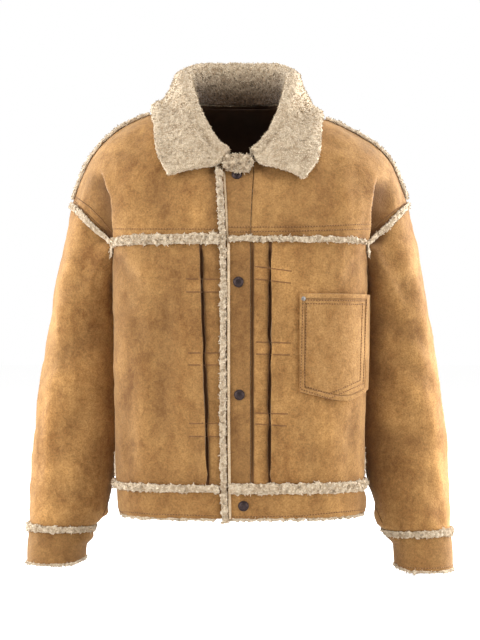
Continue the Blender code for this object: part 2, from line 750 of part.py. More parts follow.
def armhole(front, yoke, back):
    """The left armhole, from the shoulder down the front and up the back: its points, the turn of each
    round the sleeve, and the cloth beside each, walking away from the armhole."""
    side = [yoke[r, ::-1] for r in range(CAP_STEPS, -1, -1)]
    top = len(front) - 3
    side += [front[r, ::-1] for r in range(top, top - ARMHOLE_STEPS, -1)]
    first = len(BODY_LEVELS["back"])
    side += [back[first + k] for k in range(1, ARMHOLE_STEPS)]
    side += [back[first + ARMHOLE_STEPS + 1 + k] for k in range(CAP_STEPS)]
    turns = np.concatenate(
        [
            np.linspace(0, 90, CAP_STEPS + 1),
            np.linspace(90, 180, ARMHOLE_STEPS + 1)[1:],
            np.linspace(180, 270, ARMHOLE_STEPS + 1)[1:],
            np.linspace(270, 360, CAP_STEPS + 1)[1:-1],
        ]
    )
    return np.array([line[0] for line in side]), turns, side


def sleeve_sheet(start, turns):
    """Rows of the left sleeve from its end up to the armhole."""
    first = sleeve_ring(SLEEVE, SLEEVE_LEVELS[0], turns)
    below = sleeve_ring(SLEEVE, SLEEVE_LEVELS[1], turns)
    reach = np.linalg.norm(first - start, axis=1, keepdims=True)
    low = ((1 - np.cos(np.radians(turns))) / 2)[:, None]
    m0 = (np.array(SLEEVE_DROP) * (1 - low) + np.array(ARMPIT_DROP) * low) * reach
    m1 = unit(below - first) * reach
    rows = [hermite(start, first, m0, m1, k / (SLEEVE_CAP_ROWS + 1)) for k in range(SLEEVE_CAP_ROWS + 1)]
    rows += [sleeve_ring(SLEEVE, z, turns) for z in SLEEVE_LEVELS]
    grid = np.array(rows)
    grid[1:] = drape(grid[1:])
    return grid[::-1]


def share_side_seam(sheets):
    """Gives front and back one line and one set of normals along the side seams."""
    for side, here, there in (("left", -1, 0), ("right", 0, -1)):
        sign = 1 if side == "left" else -1
        points, outs = [], []
        for z in SIDE_SEAM:
            outline = ring(z)
            edge = side_edge_y(z, False)
            near = int(np.argmin(np.abs(outline[:, 1] - edge)))
            step = outline[near + 2] - outline[near - 2]
            points.append([sign * np.interp(edge, outline[:, 1], outline[:, 0]), edge, z])
            outs.append(unit(np.array([step[1] * sign, -step[0], 0.0])))
        for name, edge_column in (("front_" + side, here), ("back", there)):
            grid, out = sheets[name]
            for r in range(len(grid)):
                z = grid[r, edge_column, 2]
                if z < ARMPIT_Z - 1e-4:
                    grid[r, edge_column] = at_height(z, SIDE_SEAM, np.array(points))
                    out[r, edge_column] = at_height(z, SIDE_SEAM, np.array(outs))


def all_sheets():
    """The base sheets of body and sleeves with their mitred normals, and what the trims need of them."""
    levels = {side: levels_of(BODY_LEVELS[side]) for side in PLEAT}
    front_left, left_distances = lower_grid(levels["left"], left_columns, False)
    front_right, right_distances = lower_grid(levels["right"], right_columns, False)
    yoke_left, _ = upper_grid(YOKE_COLUMNS, False, CAP_ROWS)
    yoke_right, yoke_distances = upper_grid(UNDER_COLUMNS, False, CAP_ROWS)
    back = back_sheet()
    start, turns, beside = armhole(front_left, yoke_left, back)
    sleeve = sleeve_sheet(start, turns)
    base = {
        "front_left": front_left,
        "front_right": mirrored(front_right),
        "yoke_left": yoke_left,
        "yoke_right": mirrored(yoke_right),
        "back": back,
        "sleeve_left": sleeve[:, ::-1],
        "sleeve_right": mirrored(sleeve[:, ::-1]),
    }
    plain = [round_normals(g) if "sleeve" in name else normals(g) for name, g in base.items()]
    across = dict(zip(base, mitred(list(base.values()), plain)))
    sheets = {name: (base[name], across[name]) for name in base}
    share_side_seam(sheets)
    extras = {
        "levels": levels,
        "left_distances": left_distances,
        "right_distances": right_distances[:, ::-1],
        "yoke_right_distances": yoke_distances[:, ::-1],
        "armhole": (base["sleeve_left"][-1, ::-1], turns, beside, base["sleeve_left"][:, ::-1]),
    }
    return sheets, extras


# ---- suede pieces ----
def front_faces(side, sheets, extras):
    """Outer and inner faces of a front panel."""
    grid, across = sheets["front_" + side]
    distances = extras[side + "_distances"]
    rows = zip(distances, extras["levels"][side])
    relief = np.array([[front_relief(side, d, z) for d in row] for row, z in rows])
    return grid + across * relief[..., :1], grid - across * relief[..., 1:]


def two_faced(name, outer, inner):
    """A suede wall between two faces, drawn in at its seams."""
    wall(
        name,
        drawn_in(outer, SEAM_GAP / 2),
        drawn_in(inner, SEAM_GAP / 2 + SEAM_DRAW),
        materials["suede"],
    )


def body_pieces(sheets, extras):
    """The fronts with their pleats, the yokes, the back and the sleeves."""
    for side in ("left", "right"):
        two_faced("front_" + side, *front_faces(side, sheets, extras))
    grid, across = sheets["yoke_left"]
    two_faced("yoke_left", grid, grid - across * SKIN)
    grid, across = sheets["yoke_right"]
    dip = under_dip(extras["yoke_right_distances"])[..., None]
    two_faced("yoke_right", grid - across * dip, grid - across * (SKIN + (1 + UNDER_THIN) * dip))
    for name in ("back", "sleeve_left", "sleeve_right"):
        grid, across = sheets[name]
        closed = name != "back"
        plain_wall(name, grid, across, SKIN, materials["suede"], "ud" if closed else "udlr", closed)


def cuffs(turns):
    """Both cuffs, closed rings below the sleeves."""
    grid = np.array([sleeve_ring(CUFF, z, turns) for z in CUFF_LEVELS])[:, ::-1]
    for name, sheet in (("cuff_left", grid), ("cuff_right", mirrored(grid))):
        plain_wall(name, sheet, round_normals(sheet), SKIN, materials["suede"], "ud", closed=True)
    return grid


def placket():
    """The strip that carries the snaps, in two lengths with the yoke seam between them."""
    levels = np.linspace(WAIST_Z, YOKE_Z, PLACKET_ROWS)
    lower = np.array([lower_row(z, PLACKET_COLUMNS, False) for z in levels])
    upper = upper_grid_at(PLACKET_COLUMNS)
    faces = {}
    for name, grid in (("placket_lower", lower), ("placket_upper", upper)):
        out = normals(grid)
        face = grid + out * PLACKET_PROUD
        two_faced(name, face, face - out * PLACKET_SKIN)
        faces[name] = face
    return faces


def upper_grid_at(distances):
    """Rows from the yoke seam to the neck at fixed distances from the centre front."""
    total = lengths(half_outline(YOKE_Z, False))[-1]
    rows = []
    for v in CAP_ROWS:
        rows.append([upper_point(abs(d) / total, v, False) * [math.copysign(1, d), 1, 1] for d in distances])
    return np.array(rows)


def band_row(z):
    """The band's line at height z, from its left end on top, round the back, to its right end below."""
    front, back = half_outline(z, False), half_outline(z, True)
    edge, rear = lengths(front)[-1], lengths(back)[-1]
    spread_front = [NECK_REACH + f * (edge - NECK_REACH) for f in SPREAD]
    spread_back = [NECK_REACH + f * (rear - NECK_REACH) for f in SPREAD]
    row = lower_row(z, list(PLACKET_COLUMNS) + YOKE_COLUMNS[1:] + spread_front, False)
    half_back = lower_row(z, BACK_COLUMNS + spread_back, True)
    row += half_back[-2::-1] + [p * [-1, 1, 1] for p in half_back[1:-1]]
    right = lower_row(z, UNDER_COLUMNS + spread_front, False)
    row += [p * [-1, 1, 1] for p in right[::-1]]
    return row


def waistband():
    """The band round the hem, whose left end lies on its right end."""
    grid = np.array([band_row(z) for z in BAND_LEVELS])
    across = normals(grid)
    top, under = len(PLACKET_COLUMNS), len(UNDER_COLUMNS)
    lift, skin = np.zeros(grid.shape[1]), np.full(grid.shape[1], SKIN)
    lift[:top], skin[:top] = PLACKET_PROUD, PLACKET_SKIN
    lift[-under:] = -under_dip(np.array(UNDER_COLUMNS))[::-1]
    face = grid + across * lift[None, :, None]
    back = face - across * skin[None, :, None]
    two_faced("waistband", face, back)
    return face, back, across


def facing(sheets):
    """The smooth facing inside the back of the neck, which shows through the neck opening."""
    grid, across = sheets["back"]
    centre = grid.shape[1] // 2
    first = next(r for r in range(grid.shape[0]) if grid[r, centre, 2] > FACING_FOOT_Z)
    part = slice(first, None), slice(centre - FACING_COLUMNS, centre + FACING_COLUMNS + 1)
    depth = SKIN + SEAM_GAP * 1.5
    outer = drawn_in(grid[part], FACING_INSET[0]) - across[part] * depth
    inner = drawn_in(grid[part], FACING_INSET[1]) - across[part] * (depth + FACING_SKIN)
    wall("neck_facing", outer, inner, materials["lining"])


def pocket(sheets, extras):
    """The patch pocket: a plate that follows the left front, with a turned edge and a pointed foot."""
    outer, _ = front_faces("left", sheets, extras)
    out = sheets["front_left"][1]
    heights = np.array(extras["levels"]["left"])
    first = len(left_columns(WAIST_Z))
    low, high = (first + c for c in POCKET_COLUMNS)

    def on_panel(column, z, lift):
        point = at_height(z, heights, columns_between(outer, [column])[:, 0])
        way = unit(at_height(z, heights, columns_between(out, [column])[:, 0]))
        return point + way * lift

    columns = [low, low + POCKET_EDGE] + list(range(low + 1, high)) + [high - POCKET_EDGE, high]
    top, bottom = [], []
    for share in POCKET_ROWS:
        top_row, bottom_row = [], []
        for column in columns:
            at = (column - low) / (high - low)
            tip = min(at / POCKET_POINT_AT, (1 - at) / (1 - POCKET_POINT_AT))
            foot = POCKET_CORNER_Z + (POCKET_POINT_Z - POCKET_CORNER_Z) * tip
            z = foot + (POCKET_TOP_Z - foot) * share
            rim = share in POCKET_ROWS[:2] + POCKET_ROWS[-2:] or column in columns[:2] + columns[-2:]
            top_row.append(on_panel(column, z, POCKET_SKIN + (POCKET_RIM if rim else 0.0)))
            bottom_row.append(on_panel(column, z, POCKET_LIFT))
        top.append(top_row)
        bottom.append(bottom_row)
    wall("chest_pocket", np.array(top), np.array(bottom), materials["suede"])
    place = on_panel(low + RIVET_INSET, RIVET_Z, POCKET_SKIN + POCKET_RIM + SEAM_GAP * 1.3)
    turned("pocket_rivet", place, unit(out[-1, low]), RIVET_RADIUS, RIVET_HEIGHT, materials["rivet_metal"])


# ---- the collar ----
def collar_section(q):
    """The hidden face of the collar at q, from the neck seam over the fold to the outer edge."""
    size = read(COLLAR, "q", abs(q))
    angle = 90 - abs(q) * (90 + COLLAR_END_ANGLE)
    seam = neck(angle)
    tangent = unit((neck(angle + 1) - neck(angle - 1)) * [1, 1, 0])
    outward = np.array([-tangent[1], tangent[0], 0.0])
    outward *= math.copysign(1, outward @ seam)
    lean = math.radians(COLLAR_LEAN)
    up = np.array([0, 0, math.cos(lean)]) + outward * math.sin(lean)
    out = outward * math.cos(lean) - np.array([0, 0, math.sin(lean)])
    foot = seam + up * (SEAM_GAP * 2 + THROAT_LIFT * ease(*THROAT_LIFT_FROM, abs(q)))
    top = foot + up * size["stand"]
    centre = top + out * size["fold"]
    skew = 0.0 if q > 0 else ease(*POINT_SKEW_FROM, abs(q))
    edge = np.array([size["edge_x"], size["edge_y"], size["edge_z"]])
    edge += np.array([POINT_SKEW_X, 0.0, POINT_SKEW_Z]) * skew
    rising = [foot + (top - foot) * t for t in STAND_PLACES]
    turning = []
    for turn in np.radians(FOLD_TURNS):
        turning.append(centre - out * size["fold"] * math.cos(turn) + up * size["fold"] * math.sin(turn))
    last = turning[-1]
    reach = np.linalg.norm(edge - last)
    flow = unit(out * FALL_SWELL - up) * reach
    falling = [hermite(last, edge, flow, edge - last, k / FALL_POINTS) for k in range(1, FALL_POINTS + 1)]
    return np.array(rising + turning + falling) * [math.copysign(1, q), 1, 1]


def cloth_below(sheets, placket_faces):
    """The cloth that the collar lies on, as one set of facets with normals outwards."""
    vertices, faces = [], []
    grids = [sheets[name][0] for name in ("yoke_left", "yoke_right", "back")]
    for grid in grids + [placket_faces["placket_upper"]]:
        first = len(vertices)
        vertices += [tuple(point) for point in grid.reshape(-1, 3)]
        faces += [[first + r * grid.shape[1] + c for r, c in triangle] for triangle in facets(grid)]
    return BVHTree.FromPolygons(vertices, faces)


def pushed_clear(grid, cloth):
    """Moves the collar's fall outwards until its points, and those between them, are clear of the cloth."""
    moved = np.array(grid)
    stations, count = moved.shape[:2]
    for _ in range(COLLAR_PASSES):
        for i in range(stations):
            for j in range(COLLAR_FALL_FROM, count):
                for near in ((i, j), (i + 1, j), (i, j + 1), (i + 1, j + 1), (i - 1, j + 1)):
                    if not (0 <= near[0] < stations and near[1] < count):
                        continue
                    middle = Vector((moved[i, j] + moved[near]) / 2)
                    place, out, _, _ = cloth.find_nearest(middle)
                    height = (middle - place).dot(out)
                    if height < COLLAR_CLEAR:
                        for point in {(i, j), near}:
                            moved[point] += np.array(out) * (COLLAR_CLEAR - height)
    return moved


def collar(sheets, placket_faces):
    """The collar: a stand round the neck that folds over and lies on the shoulders."""
    hidden = np.array([collar_section(q) for q in np.linspace(1, -1, COLLAR_STATIONS)])
    hidden = pushed_clear(hidden, cloth_below(sheets, placket_faces))
    across = normals(hidden)
    if across[COLLAR_STATIONS // 2, 0, 1] > 0:
        across = -across
    face = hidden + across * COLLAR_SKIN
    wall("collar", face, hidden, materials["wool"])


# ---- wool along the seams ----
def seam_trim(name, below, above, out, halves, height):
    """Wool along a level seam. below and above are lists of the cloth's columns, which rise; below's last
    points are above's first."""
    down = np.array([point_at(line[::-1], half) for line, half in zip(below, halves)])
    up = np.array([point_at(line, half) for line, half in zip(above, halves)])
    bead(name, down, np.array([line[0] for line in above]), up, out, height)


def columns_of(*grids):
    """All columns of some grids, one after another."""
    return [grid[:, c] for grid in grids for c in range(grid.shape[1])]


def at_distances(grid, across, wanted):
    """Columns of a grid at the wanted distances, where across holds its own along one row."""
    return columns_between(grid, np.interp(wanted, across, range(len(across))))


def yoke_trims(sheets, extras, placket_faces):
    """Wool along the yoke seams. The left one runs across the placket."""
    spread = list(extras["left_distances"][-1][-len(SPREAD) :])
    low, up = placket_faces["placket_lower"], placket_faces["placket_upper"]
    front = at_distances(sheets["front_left"][0], extras["left_distances"][-1], YOKE_COLUMNS[1:] + spread)
    below = columns_of(low, trimmed_end(front))
    above = columns_of(up, trimmed_end(sheets["yoke_left"][0][:, 1:]))
    out = np.concatenate([normals(up)[0], sheets["yoke_left"][1][0, 1:]])
    half, height = TRIM["yoke_left"]
    seam_trim("yoke_trim_left", below, above, out, [half] * len(out), height)
    front, yoke = sheets["front_right"][0][:, ::-1], sheets["yoke_right"][0][:, ::-1]
    wanted = UNDER_COLUMNS[3:] + spread
    below = trimmed_end(at_distances(front, extras["right_distances"][-1, ::-1], wanted))
    above = trimmed_end(yoke[:, 3:])
    half, height = TRIM["yoke_right"]
    out = sheets["yoke_right"][1][0, ::-1][3:]
    seam_trim("yoke_trim_right", columns_of(below), columns_of(above), out, [half] * len(out), height)


def trimmed_end(grid):
    """The grid with its last column moved back so that a trim ends before the next one."""
    moved = np.array(grid)
    for r in range(grid.shape[0]):
        step = unit(grid[r, -2] - grid[r, -1])
        moved[r, -1] = grid[r, -1] + step * (TRIM["armhole"][0] + TRIM_END_CLEAR)
    return moved


def both_sides(name, lines, height, **kind):
    """A bead on the left and its mirror image on the right."""
    for side, sign in (("left", 1), ("right", -1)):
        placed = [np.array(line) * [sign, 1, 1] for line in lines]
        bead(name + "_" + side, *placed, height, **kind)


def armhole_trims(sheets, extras):
    """Wool along the armholes, from the front of the armpit over the shoulder to the back of it."""
    start, _, beside, sleeve = extras["armhole"]
    half, height = TRIM["armhole"]
    out = sheets["sleeve_left"][1][-1, ::-1]
    on_body = np.array([point_at(line, half) for line in beside])
    on_sleeve = inward(sleeve[::-1], half)
    front_end = CAP_STEPS + 1
    back_end = len(start) - CAP_STEPS
    order = list(range(front_end, -1, -1)) + list(range(len(start) - 1, back_end - 1, -1))
    both_sides("armhole_trim", [line[order] for line in (on_body, start, on_sleeve, out)], height)


def shoulder_trims(sheets):
    """Wool along the shoulder seams, from under the collar to the armhole."""
    yoke, across = sheets["yoke_left"]
    back = sheets["back"][0]
    half, height = TRIM["shoulder"]
    first = len(YOKE_COLUMNS)
    places = [first + p for p in SHOULDER_PLACES]
    back_places = [back.shape[1] // 2 - len(BACK_COLUMNS) - p for p in SHOULDER_PLACES]
    on_front = inward(columns_between(yoke, places)[::-1], half)
    on_back = inward(columns_between(back, back_places)[::-1], half)
    middle = columns_between(yoke, places)[-1]
    out = columns_between(across, places)[-1]
    both_sides("shoulder_trim", [on_front, middle, on_back, out], height)


def row_at(grid, z):
    """A row of the cloth at height z, between two of the grid's own."""
    return np.array([at_height(z, grid[:, 0, 2], line) for line in columns_of(grid)])


def side_trims(sheets, extras):
    """Wool along the side seams, between the waist and the armpit."""
    half, height = TRIM["side"]
    below_yoke = len(BODY_LEVELS["back"]) + ARMHOLE_STEPS + 2
    for side in ("left", "right"):
        front, across = sheets["front_" + side]
        back = sheets["back"][0][:below_yoke]
        if side == "left":
            front, across = front[:, ::-1], across[:, ::-1]
        else:
            back = back[:, ::-1]
        levels = extras["levels"][side]
        rows = [r for r, z in enumerate(levels) if WAIST_Z < z < SIDE_TRIM_TOP_Z]
        on_front = np.array([point_at(front[r], half) for r in rows])
        on_back = np.array([point_at(row_at(back, levels[r]), half) for r in rows])
        bead("side_trim_" + side, on_front, front[rows, 0], on_back, across[rows, 0], height)


def waist_trim(sheets, extras, placket_faces, band):
    """Wool along the waist seam, from the placket's edge round the back to the right front."""
    face, _, across = band
    spread = list(extras["left_distances"][0][-len(SPREAD) :])
    left = at_distances(sheets["front_left"][0], extras["left_distances"][0], YOKE_COLUMNS[1:] + spread)
    wanted = UNDER_COLUMNS[3:] + spread
    front = sheets["front_right"][0][:, ::-1]
    right = at_distances(front, extras["right_distances"][0, ::-1], wanted)[:, ::-1]
    parts = [placket_faces["placket_lower"], left, sheets["back"][0][:, 1:-1], right]
    sizes = []
    for part, name in zip(parts, ("waist_left", "waist_left", "waist_back", "waist_right")):
        sizes += [TRIM[name]] * part.shape[1]
    halves, heights = (smoothed([size[k] for size in sizes]) for k in (0, 1))
    count = len(sizes)
    below = columns_of(face[:, :count])
    seam_trim("waist_trim", below, columns_of(*parts), across[-1, :count], halves, heights)


def smoothed(values):
    """A list of sizes with its steps spread over a few neighbours."""
    padded = np.pad(values, 2, mode="edge")
    return np.convolve(padded, np.ones(5) / 5, mode="valid")


def placket_trim(sheets, extras, band):
    """Wool that stands out from under the placket's edge, on the right front."""
    front = front_faces("right", sheets, extras)[0][:, ::-1]
    front_distances = extras["right_distances"][:, ::-1]
    grid, across = sheets["yoke_right"]
    distances = extras["yoke_right_distances"]
    yoke = (grid - across * under_dip(distances)[..., None])[:, ::-1]
    distances = distances[:, ::-1]
    band_face = band[0][:, ::-1][:, : len(UNDER_COLUMNS)]
    rows = [(row, UNDER_COLUMNS) for row in band_face[:-1]]
    rows += list(zip(front, front_distances))
    for row in columns_between(yoke.swapaxes(0, 1), PLACKET_TRIM_ROWS).swapaxes(0, 1):
        rows.append((row, distances[0]))
    lines = []
    for distance in PLACKET_TRIM:
        lines.append([[np.interp(distance, at, row[:, a]) for a in range(3)] for row, at in rows])
    outer, middle, inner = (np.array(line) for line in lines)
    along = np.gradient(middle, axis=0)
    out = unit(np.cross([1.0, 0.0, 0.0], along))
    heights = [PLACKET_TRIM_HEIGHT] * (len(rows) - 1) + [PLACKET_TRIM_END]
    bead("placket_trim", outer, middle, inner, out, heights, last_shoulder=PLACKET_TRIM_SHOULDER)


def lower_edge_wool(band, cuff, sleeve):
    """Wool over the cuff seams and below the cuffs and the hem."""
    face, back, across = band
    stop = face.shape[1] - HEM_WOOL_STOP
    hanging_wool("hem_trim", face[0, :stop], back[0, :stop], across[0, :stop])
    half, height = TRIM["cuff"]
    seam = sleeve[0, ::-1]
    out = round_normals(cuff)
    on_sleeve = inward(sleeve[:, ::-1], half)
    on_cuff = inward(cuff[::-1], half)
    lean = unit(round_normals(sleeve[:, ::-1])[0] + out[-1])
    both_sides("cuff_trim", [on_cuff, seam, on_sleeve, lean], height, closed=True)
    for side, sign in (("left", 1), ("right", -1)):
        outer, inner, way = cuff[0], cuff[0] - out[0] * SKIN, out[0]
        placed = [line * [sign, 1, 1] for line in (outer, inner, way)]
        hanging_wool("cuff_hem_trim_" + side, *placed, closed=True)


def throat_wool():
    """The tuft where the collar's ends meet above the placket."""
    shape = bmesh.new()
    bmesh.ops.create_uvsphere(shape, u_segments=14, v_segments=8, radius=1.0)
    mesh = bpy.data.meshes.new("throat_wool")
    shape.to_mesh(mesh)
    shape.free()
    mesh.transform(Matrix.Diagonal((*THROAT_WOOL["radii"], 1.0)))
    mesh.materials.append(materials["wool"])
    mesh.shade_smooth()
    tuft = bpy.data.objects.new("throat_wool", mesh)
    tuft.location = THROAT_WOOL["place"]
    garment.objects.link(tuft)


# ---- metal ----
def turned(name, place, axis, radius, height, material):
    """A domed cap turned round the axis, standing at place."""
    profile = [(radius * r, height * h) for r, h in CAP_PROFILE]
    mesh = bpy.data.meshes.new(name)
    mesh.from_pydata([(r, 0, z) for r, z in profile], [(i, i + 1) for i in range(len(profile) - 1)], [])
    mesh.materials.append(material)
    cap = bpy.data.objects.new(name, mesh)
    garment.objects.link(cap)
    spin = cap.modifiers.new("turn", "SCREW")
    spin.steps = spin.render_steps = TURN_STEPS
    spin.use_merge_vertices = True
    spin.merge_threshold = 0.00001
    spin.use_normal_calculate = True
    cap.location = place
    cap.rotation_mode = "QUATERNION"
    cap.rotation_quaternion = Vector(axis).to_track_quat("Z", "Y")


def snaps(placket_faces):
    """Four snap caps down the placket and the band's end."""
    low, up = placket_faces["placket_lower"][:, 1], placket_faces["placket_upper"][:, 1]
    face = np.concatenate([band_line(), low[1:], up[1:]])
    for name, x, z in zip(SNAP_NAMES, SNAPS["x"], SNAPS["z"]):
        below, point, above = (at_height(h, face[:, 2], face) for h in (z - SNAP_REACH, z, z + SNAP_REACH))
        axis = unit(np.cross([1.0, 0.0, 0.0], above - below))
        place = point * [0, 1, 1] + [x, 0, 0] + axis * SEAM_GAP * 1.5
        turned(name, place, axis, SNAP_RADIUS, SNAP_HEIGHT, materials["snap_metal"])


def band_line():
    """The front of the band's left end, beside the centre."""
    line = np.array([lower_row(z, PLACKET_COLUMNS[1:2], False)[0] for z in BAND_LEVELS])
    return line + np.array([0.0, -PLACKET_PROUD, 0.0])


def new_material(name, look):
    material = bpy.data.materials.new(name)
    material.use_nodes = True
    shader = material.node_tree.nodes["Principled BSDF"]
    shader.inputs["Base Color"].default_value = (*look["colour"], 1.0)
    shader.inputs["Roughness"].default_value = look["roughness"]
    shader.inputs["Metallic"].default_value = look.get("metallic", 0.0)
    return material


for old in list(bpy.data.objects):
    bpy.data.objects.remove(old)
garment = bpy.data.collections.new("shearling_jacket")
bpy.context.scene.collection.children.link(garment)
materials = {name: new_material(name, look) for name, look in LOOKS.items()}

the_sheets, the_extras = all_sheets()
body_pieces(the_sheets, the_extras)
cuff_sheet = cuffs(the_extras["armhole"][1])
placket_sheets = placket()
band_sheets = waistband()
facing(the_sheets)
pocket(the_sheets, the_extras)
collar(the_sheets, placket_sheets)
yoke_trims(the_sheets, the_extras, placket_sheets)
armhole_trims(the_sheets, the_extras)
shoulder_trims(the_sheets)
side_trims(the_sheets, the_extras)
waist_trim(the_sheets, the_extras, placket_sheets, band_sheets)
placket_trim(the_sheets, the_extras, band_sheets)
lower_edge_wool(band_sheets, cuff_sheet, the_extras["armhole"][3])
throat_wool()
snaps(placket_sheets)
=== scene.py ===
import math

import bmesh
import bpy
import numpy as np
from mathutils import Matrix, Vector, noise
from mathutils.bvhtree import BVHTree
from mathutils.kdtree import KDTree


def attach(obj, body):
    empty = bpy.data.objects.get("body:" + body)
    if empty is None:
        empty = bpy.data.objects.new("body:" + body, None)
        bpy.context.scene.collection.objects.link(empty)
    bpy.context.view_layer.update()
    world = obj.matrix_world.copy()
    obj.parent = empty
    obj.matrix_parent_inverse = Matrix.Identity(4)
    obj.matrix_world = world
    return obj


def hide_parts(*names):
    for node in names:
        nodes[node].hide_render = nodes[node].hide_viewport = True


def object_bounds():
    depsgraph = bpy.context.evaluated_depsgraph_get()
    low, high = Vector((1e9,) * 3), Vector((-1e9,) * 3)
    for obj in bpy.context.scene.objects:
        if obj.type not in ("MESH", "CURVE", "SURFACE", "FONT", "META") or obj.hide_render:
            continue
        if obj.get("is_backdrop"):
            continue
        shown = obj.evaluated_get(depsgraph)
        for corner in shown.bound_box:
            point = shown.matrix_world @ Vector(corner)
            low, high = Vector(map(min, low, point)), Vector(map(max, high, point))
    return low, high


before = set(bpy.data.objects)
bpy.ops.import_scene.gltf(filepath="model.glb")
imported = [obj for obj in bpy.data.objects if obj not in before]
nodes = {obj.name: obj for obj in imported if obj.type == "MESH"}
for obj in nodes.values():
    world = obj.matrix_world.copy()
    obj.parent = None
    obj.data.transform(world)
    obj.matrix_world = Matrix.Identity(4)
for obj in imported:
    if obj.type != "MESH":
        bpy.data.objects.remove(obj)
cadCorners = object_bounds()
print("frame loaded:", len(nodes), "nodes")

# camera, light and floor, in metres; pixels and across are the photograph's height and width
view = {"distance": 3.0, "height": -0.367, "halfHeight": 0.544, "pixels": 640, "across": 480}


def makeCamera():
    lens = bpy.data.cameras.new("camera")
    lens.lens = lens.sensor_width / 2 / (view["halfHeight"] / view["distance"])
    camera = bpy.data.objects.new("camera", lens)
    camera.location = (0, -view["distance"], view["height"])
    camera.rotation_euler = (math.radians(90), 0, 0)
    bpy.context.scene.collection.objects.link(camera)
    bpy.context.scene.camera = camera


lights = {
    "rightSoft": {"at": (2.6, -1.35, 0.3), "to": (0.05, 0, -0.40), "size": (1.3, 2.4), "power": 64},
    "leftSoft": {"at": (-2.6, -1.35, 0.3), "to": (-0.05, 0, -0.40), "size": (1.3, 2.4), "power": 82},
    "topSoft": {"at": (0, -0.9, 2.0), "to": (0, 0, -0.1), "size": (1.4, 1.0), "power": 36},
    "rightRim": {"at": (2.3, 1.0, 0.1), "to": (0.05, 0, -0.40), "size": (1.3, 2.4), "power": 160},
    "leftRim": {"at": (-2.3, 1.0, 0.1), "to": (-0.05, 0, -0.40), "size": (1.3, 2.4), "power": 92},
}
# the world is plain white to the camera and a faint warm fill to the jacket
studio = {"seen": (1, 1, 1, 1), "fill": (1, 0.98, 0.95, 1), "fillStrength": 0.03}


def makeLights():
    for name, light in lights.items():
        lamp = bpy.data.lights.new(name, "AREA")
        lamp.shape = "RECTANGLE"
        lamp.size, lamp.size_y = light["size"]
        lamp.energy = light["power"]
        holder = bpy.data.objects.new(name, lamp)
        holder.location = light["at"]
        aim = Vector(light["to"]) - Vector(light["at"])
        holder.rotation_euler = aim.to_track_quat("-Z", "Y").to_euler()
        bpy.context.scene.collection.objects.link(holder)
    world = bpy.data.worlds.new("studio")
    bpy.context.scene.world = world
    world.use_nodes = True
    bpy.context.scene.view_settings.view_transform = "Standard"
    tree = world.node_tree
    tree.nodes.clear()
    seen = put(tree, "ShaderNodeBackground", {"Color": studio["seen"], "Strength": 1.0})
    fill = put(tree, "ShaderNodeBackground", {"Color": studio["fill"], "Strength": studio["fillStrength"]})
    direct = put(tree, "ShaderNodeLightPath").outputs["Is Camera Ray"]
    mixed = put(tree, "ShaderNodeMixShader", {0: direct, 1: fill.outputs[0], 2: seen.outputs[0]})
    put(tree, "ShaderNodeOutputWorld", {"Surface": mixed.outputs[0]})


floorSizes = {
    "below": 0.004, "side": 9, "near": -7, "far": 14, "colour": (0.86, 0.855, 0.845, 1), "glow": 0.96,
}


def makeFloor():
    mesh = bpy.data.meshes.new("floor")
    z = cadCorners[0][2] - floorSizes["below"]
    side, near, far = floorSizes["side"], floorSizes["near"], floorSizes["far"]
    mesh.from_pydata([(-side, near, z), (side, near, z), (side, far, z), (-side, far, z)], [], [(0, 1, 2, 3)])
    floor = bpy.data.objects.new("floor", mesh)
    bpy.context.scene.collection.objects.link(floor)
    material = bpy.data.materials.new("pale floor")
    material.use_nodes = True
    shader = material.node_tree.nodes["Principled BSDF"]
    shader.inputs["Base Color"].default_value = floorSizes["colour"]
    shader.inputs["Roughness"].default_value = 0.9
    shader.inputs["Emission Color"].default_value = (1, 1, 1, 1)
    # bright to the eye, without lighting the jacket from below
    direct = put(material.node_tree, "ShaderNodeLightPath").outputs["Is Camera Ray"]
    glow = calc(material.node_tree, "MULTIPLY", direct, floorSizes["glow"])
    material.node_tree.links.new(glow, shader.inputs["Emission Strength"])
    mesh.materials.append(material)
    floor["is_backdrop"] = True


# node helpers


def put(tree, kind, values=None, **settings):
    made = tree.nodes.new(kind)
    for name, value in settings.items():
        setattr(made, name, value)
    for key, value in (values or {}).items():
        socket = made.inputs[key]
        if isinstance(value, bpy.types.NodeSocket):
            tree.links.new(value, socket)
        else:
            socket.default_value = value
    return made


def calc(tree, operation, *values):
    return put(tree, "ShaderNodeMath", dict(enumerate(values)), operation=operation).outputs[0]


def mixColour(tree, share, first, second, kind="MIX"):
    made = put(tree, "ShaderNodeMix", {0: share, 6: first, 7: second}, data_type="RGBA", blend_type=kind)
    return made.outputs[2]


def sums(tree, *parts):
    # parts are (socket, weight) pairs
    total = None
    for socket, weight in parts:
        scaled = calc(tree, "MULTIPLY", socket, weight)
        total = scaled if total is None else calc(tree, "ADD", total, scaled)
    return total


def spread(tree, value, low, high, toLow=0.0, toHigh=1.0):
    values = {"Value": value, "From Min": low, "From Max": high, "To Min": toLow, "To Max": toHigh}
    return put(tree, "ShaderNodeMapRange", values).outputs[0]


def newGroup(name, inputs, outputs):
    group = bpy.data.node_groups.new(name, "ShaderNodeTree")
    for label, kind in inputs:
        group.interface.new_socket(label, in_out="INPUT", socket_type="NodeSocket" + kind)
    for label, kind in outputs:
        group.interface.new_socket(label, in_out="OUTPUT", socket_type="NodeSocket" + kind)
    return group, put(group, "NodeGroupInput").outputs, put(group, "NodeGroupOutput").inputs


def objectNoise(tree, where, scale, detail=3.0, roughness=0.55, distortion=0.0):
    values = {"Vector": where, "Scale": scale, "Detail": detail, "Roughness": roughness}
    return put(tree, "ShaderNodeTexNoise", dict(values, Distortion=distortion)).outputs[0]


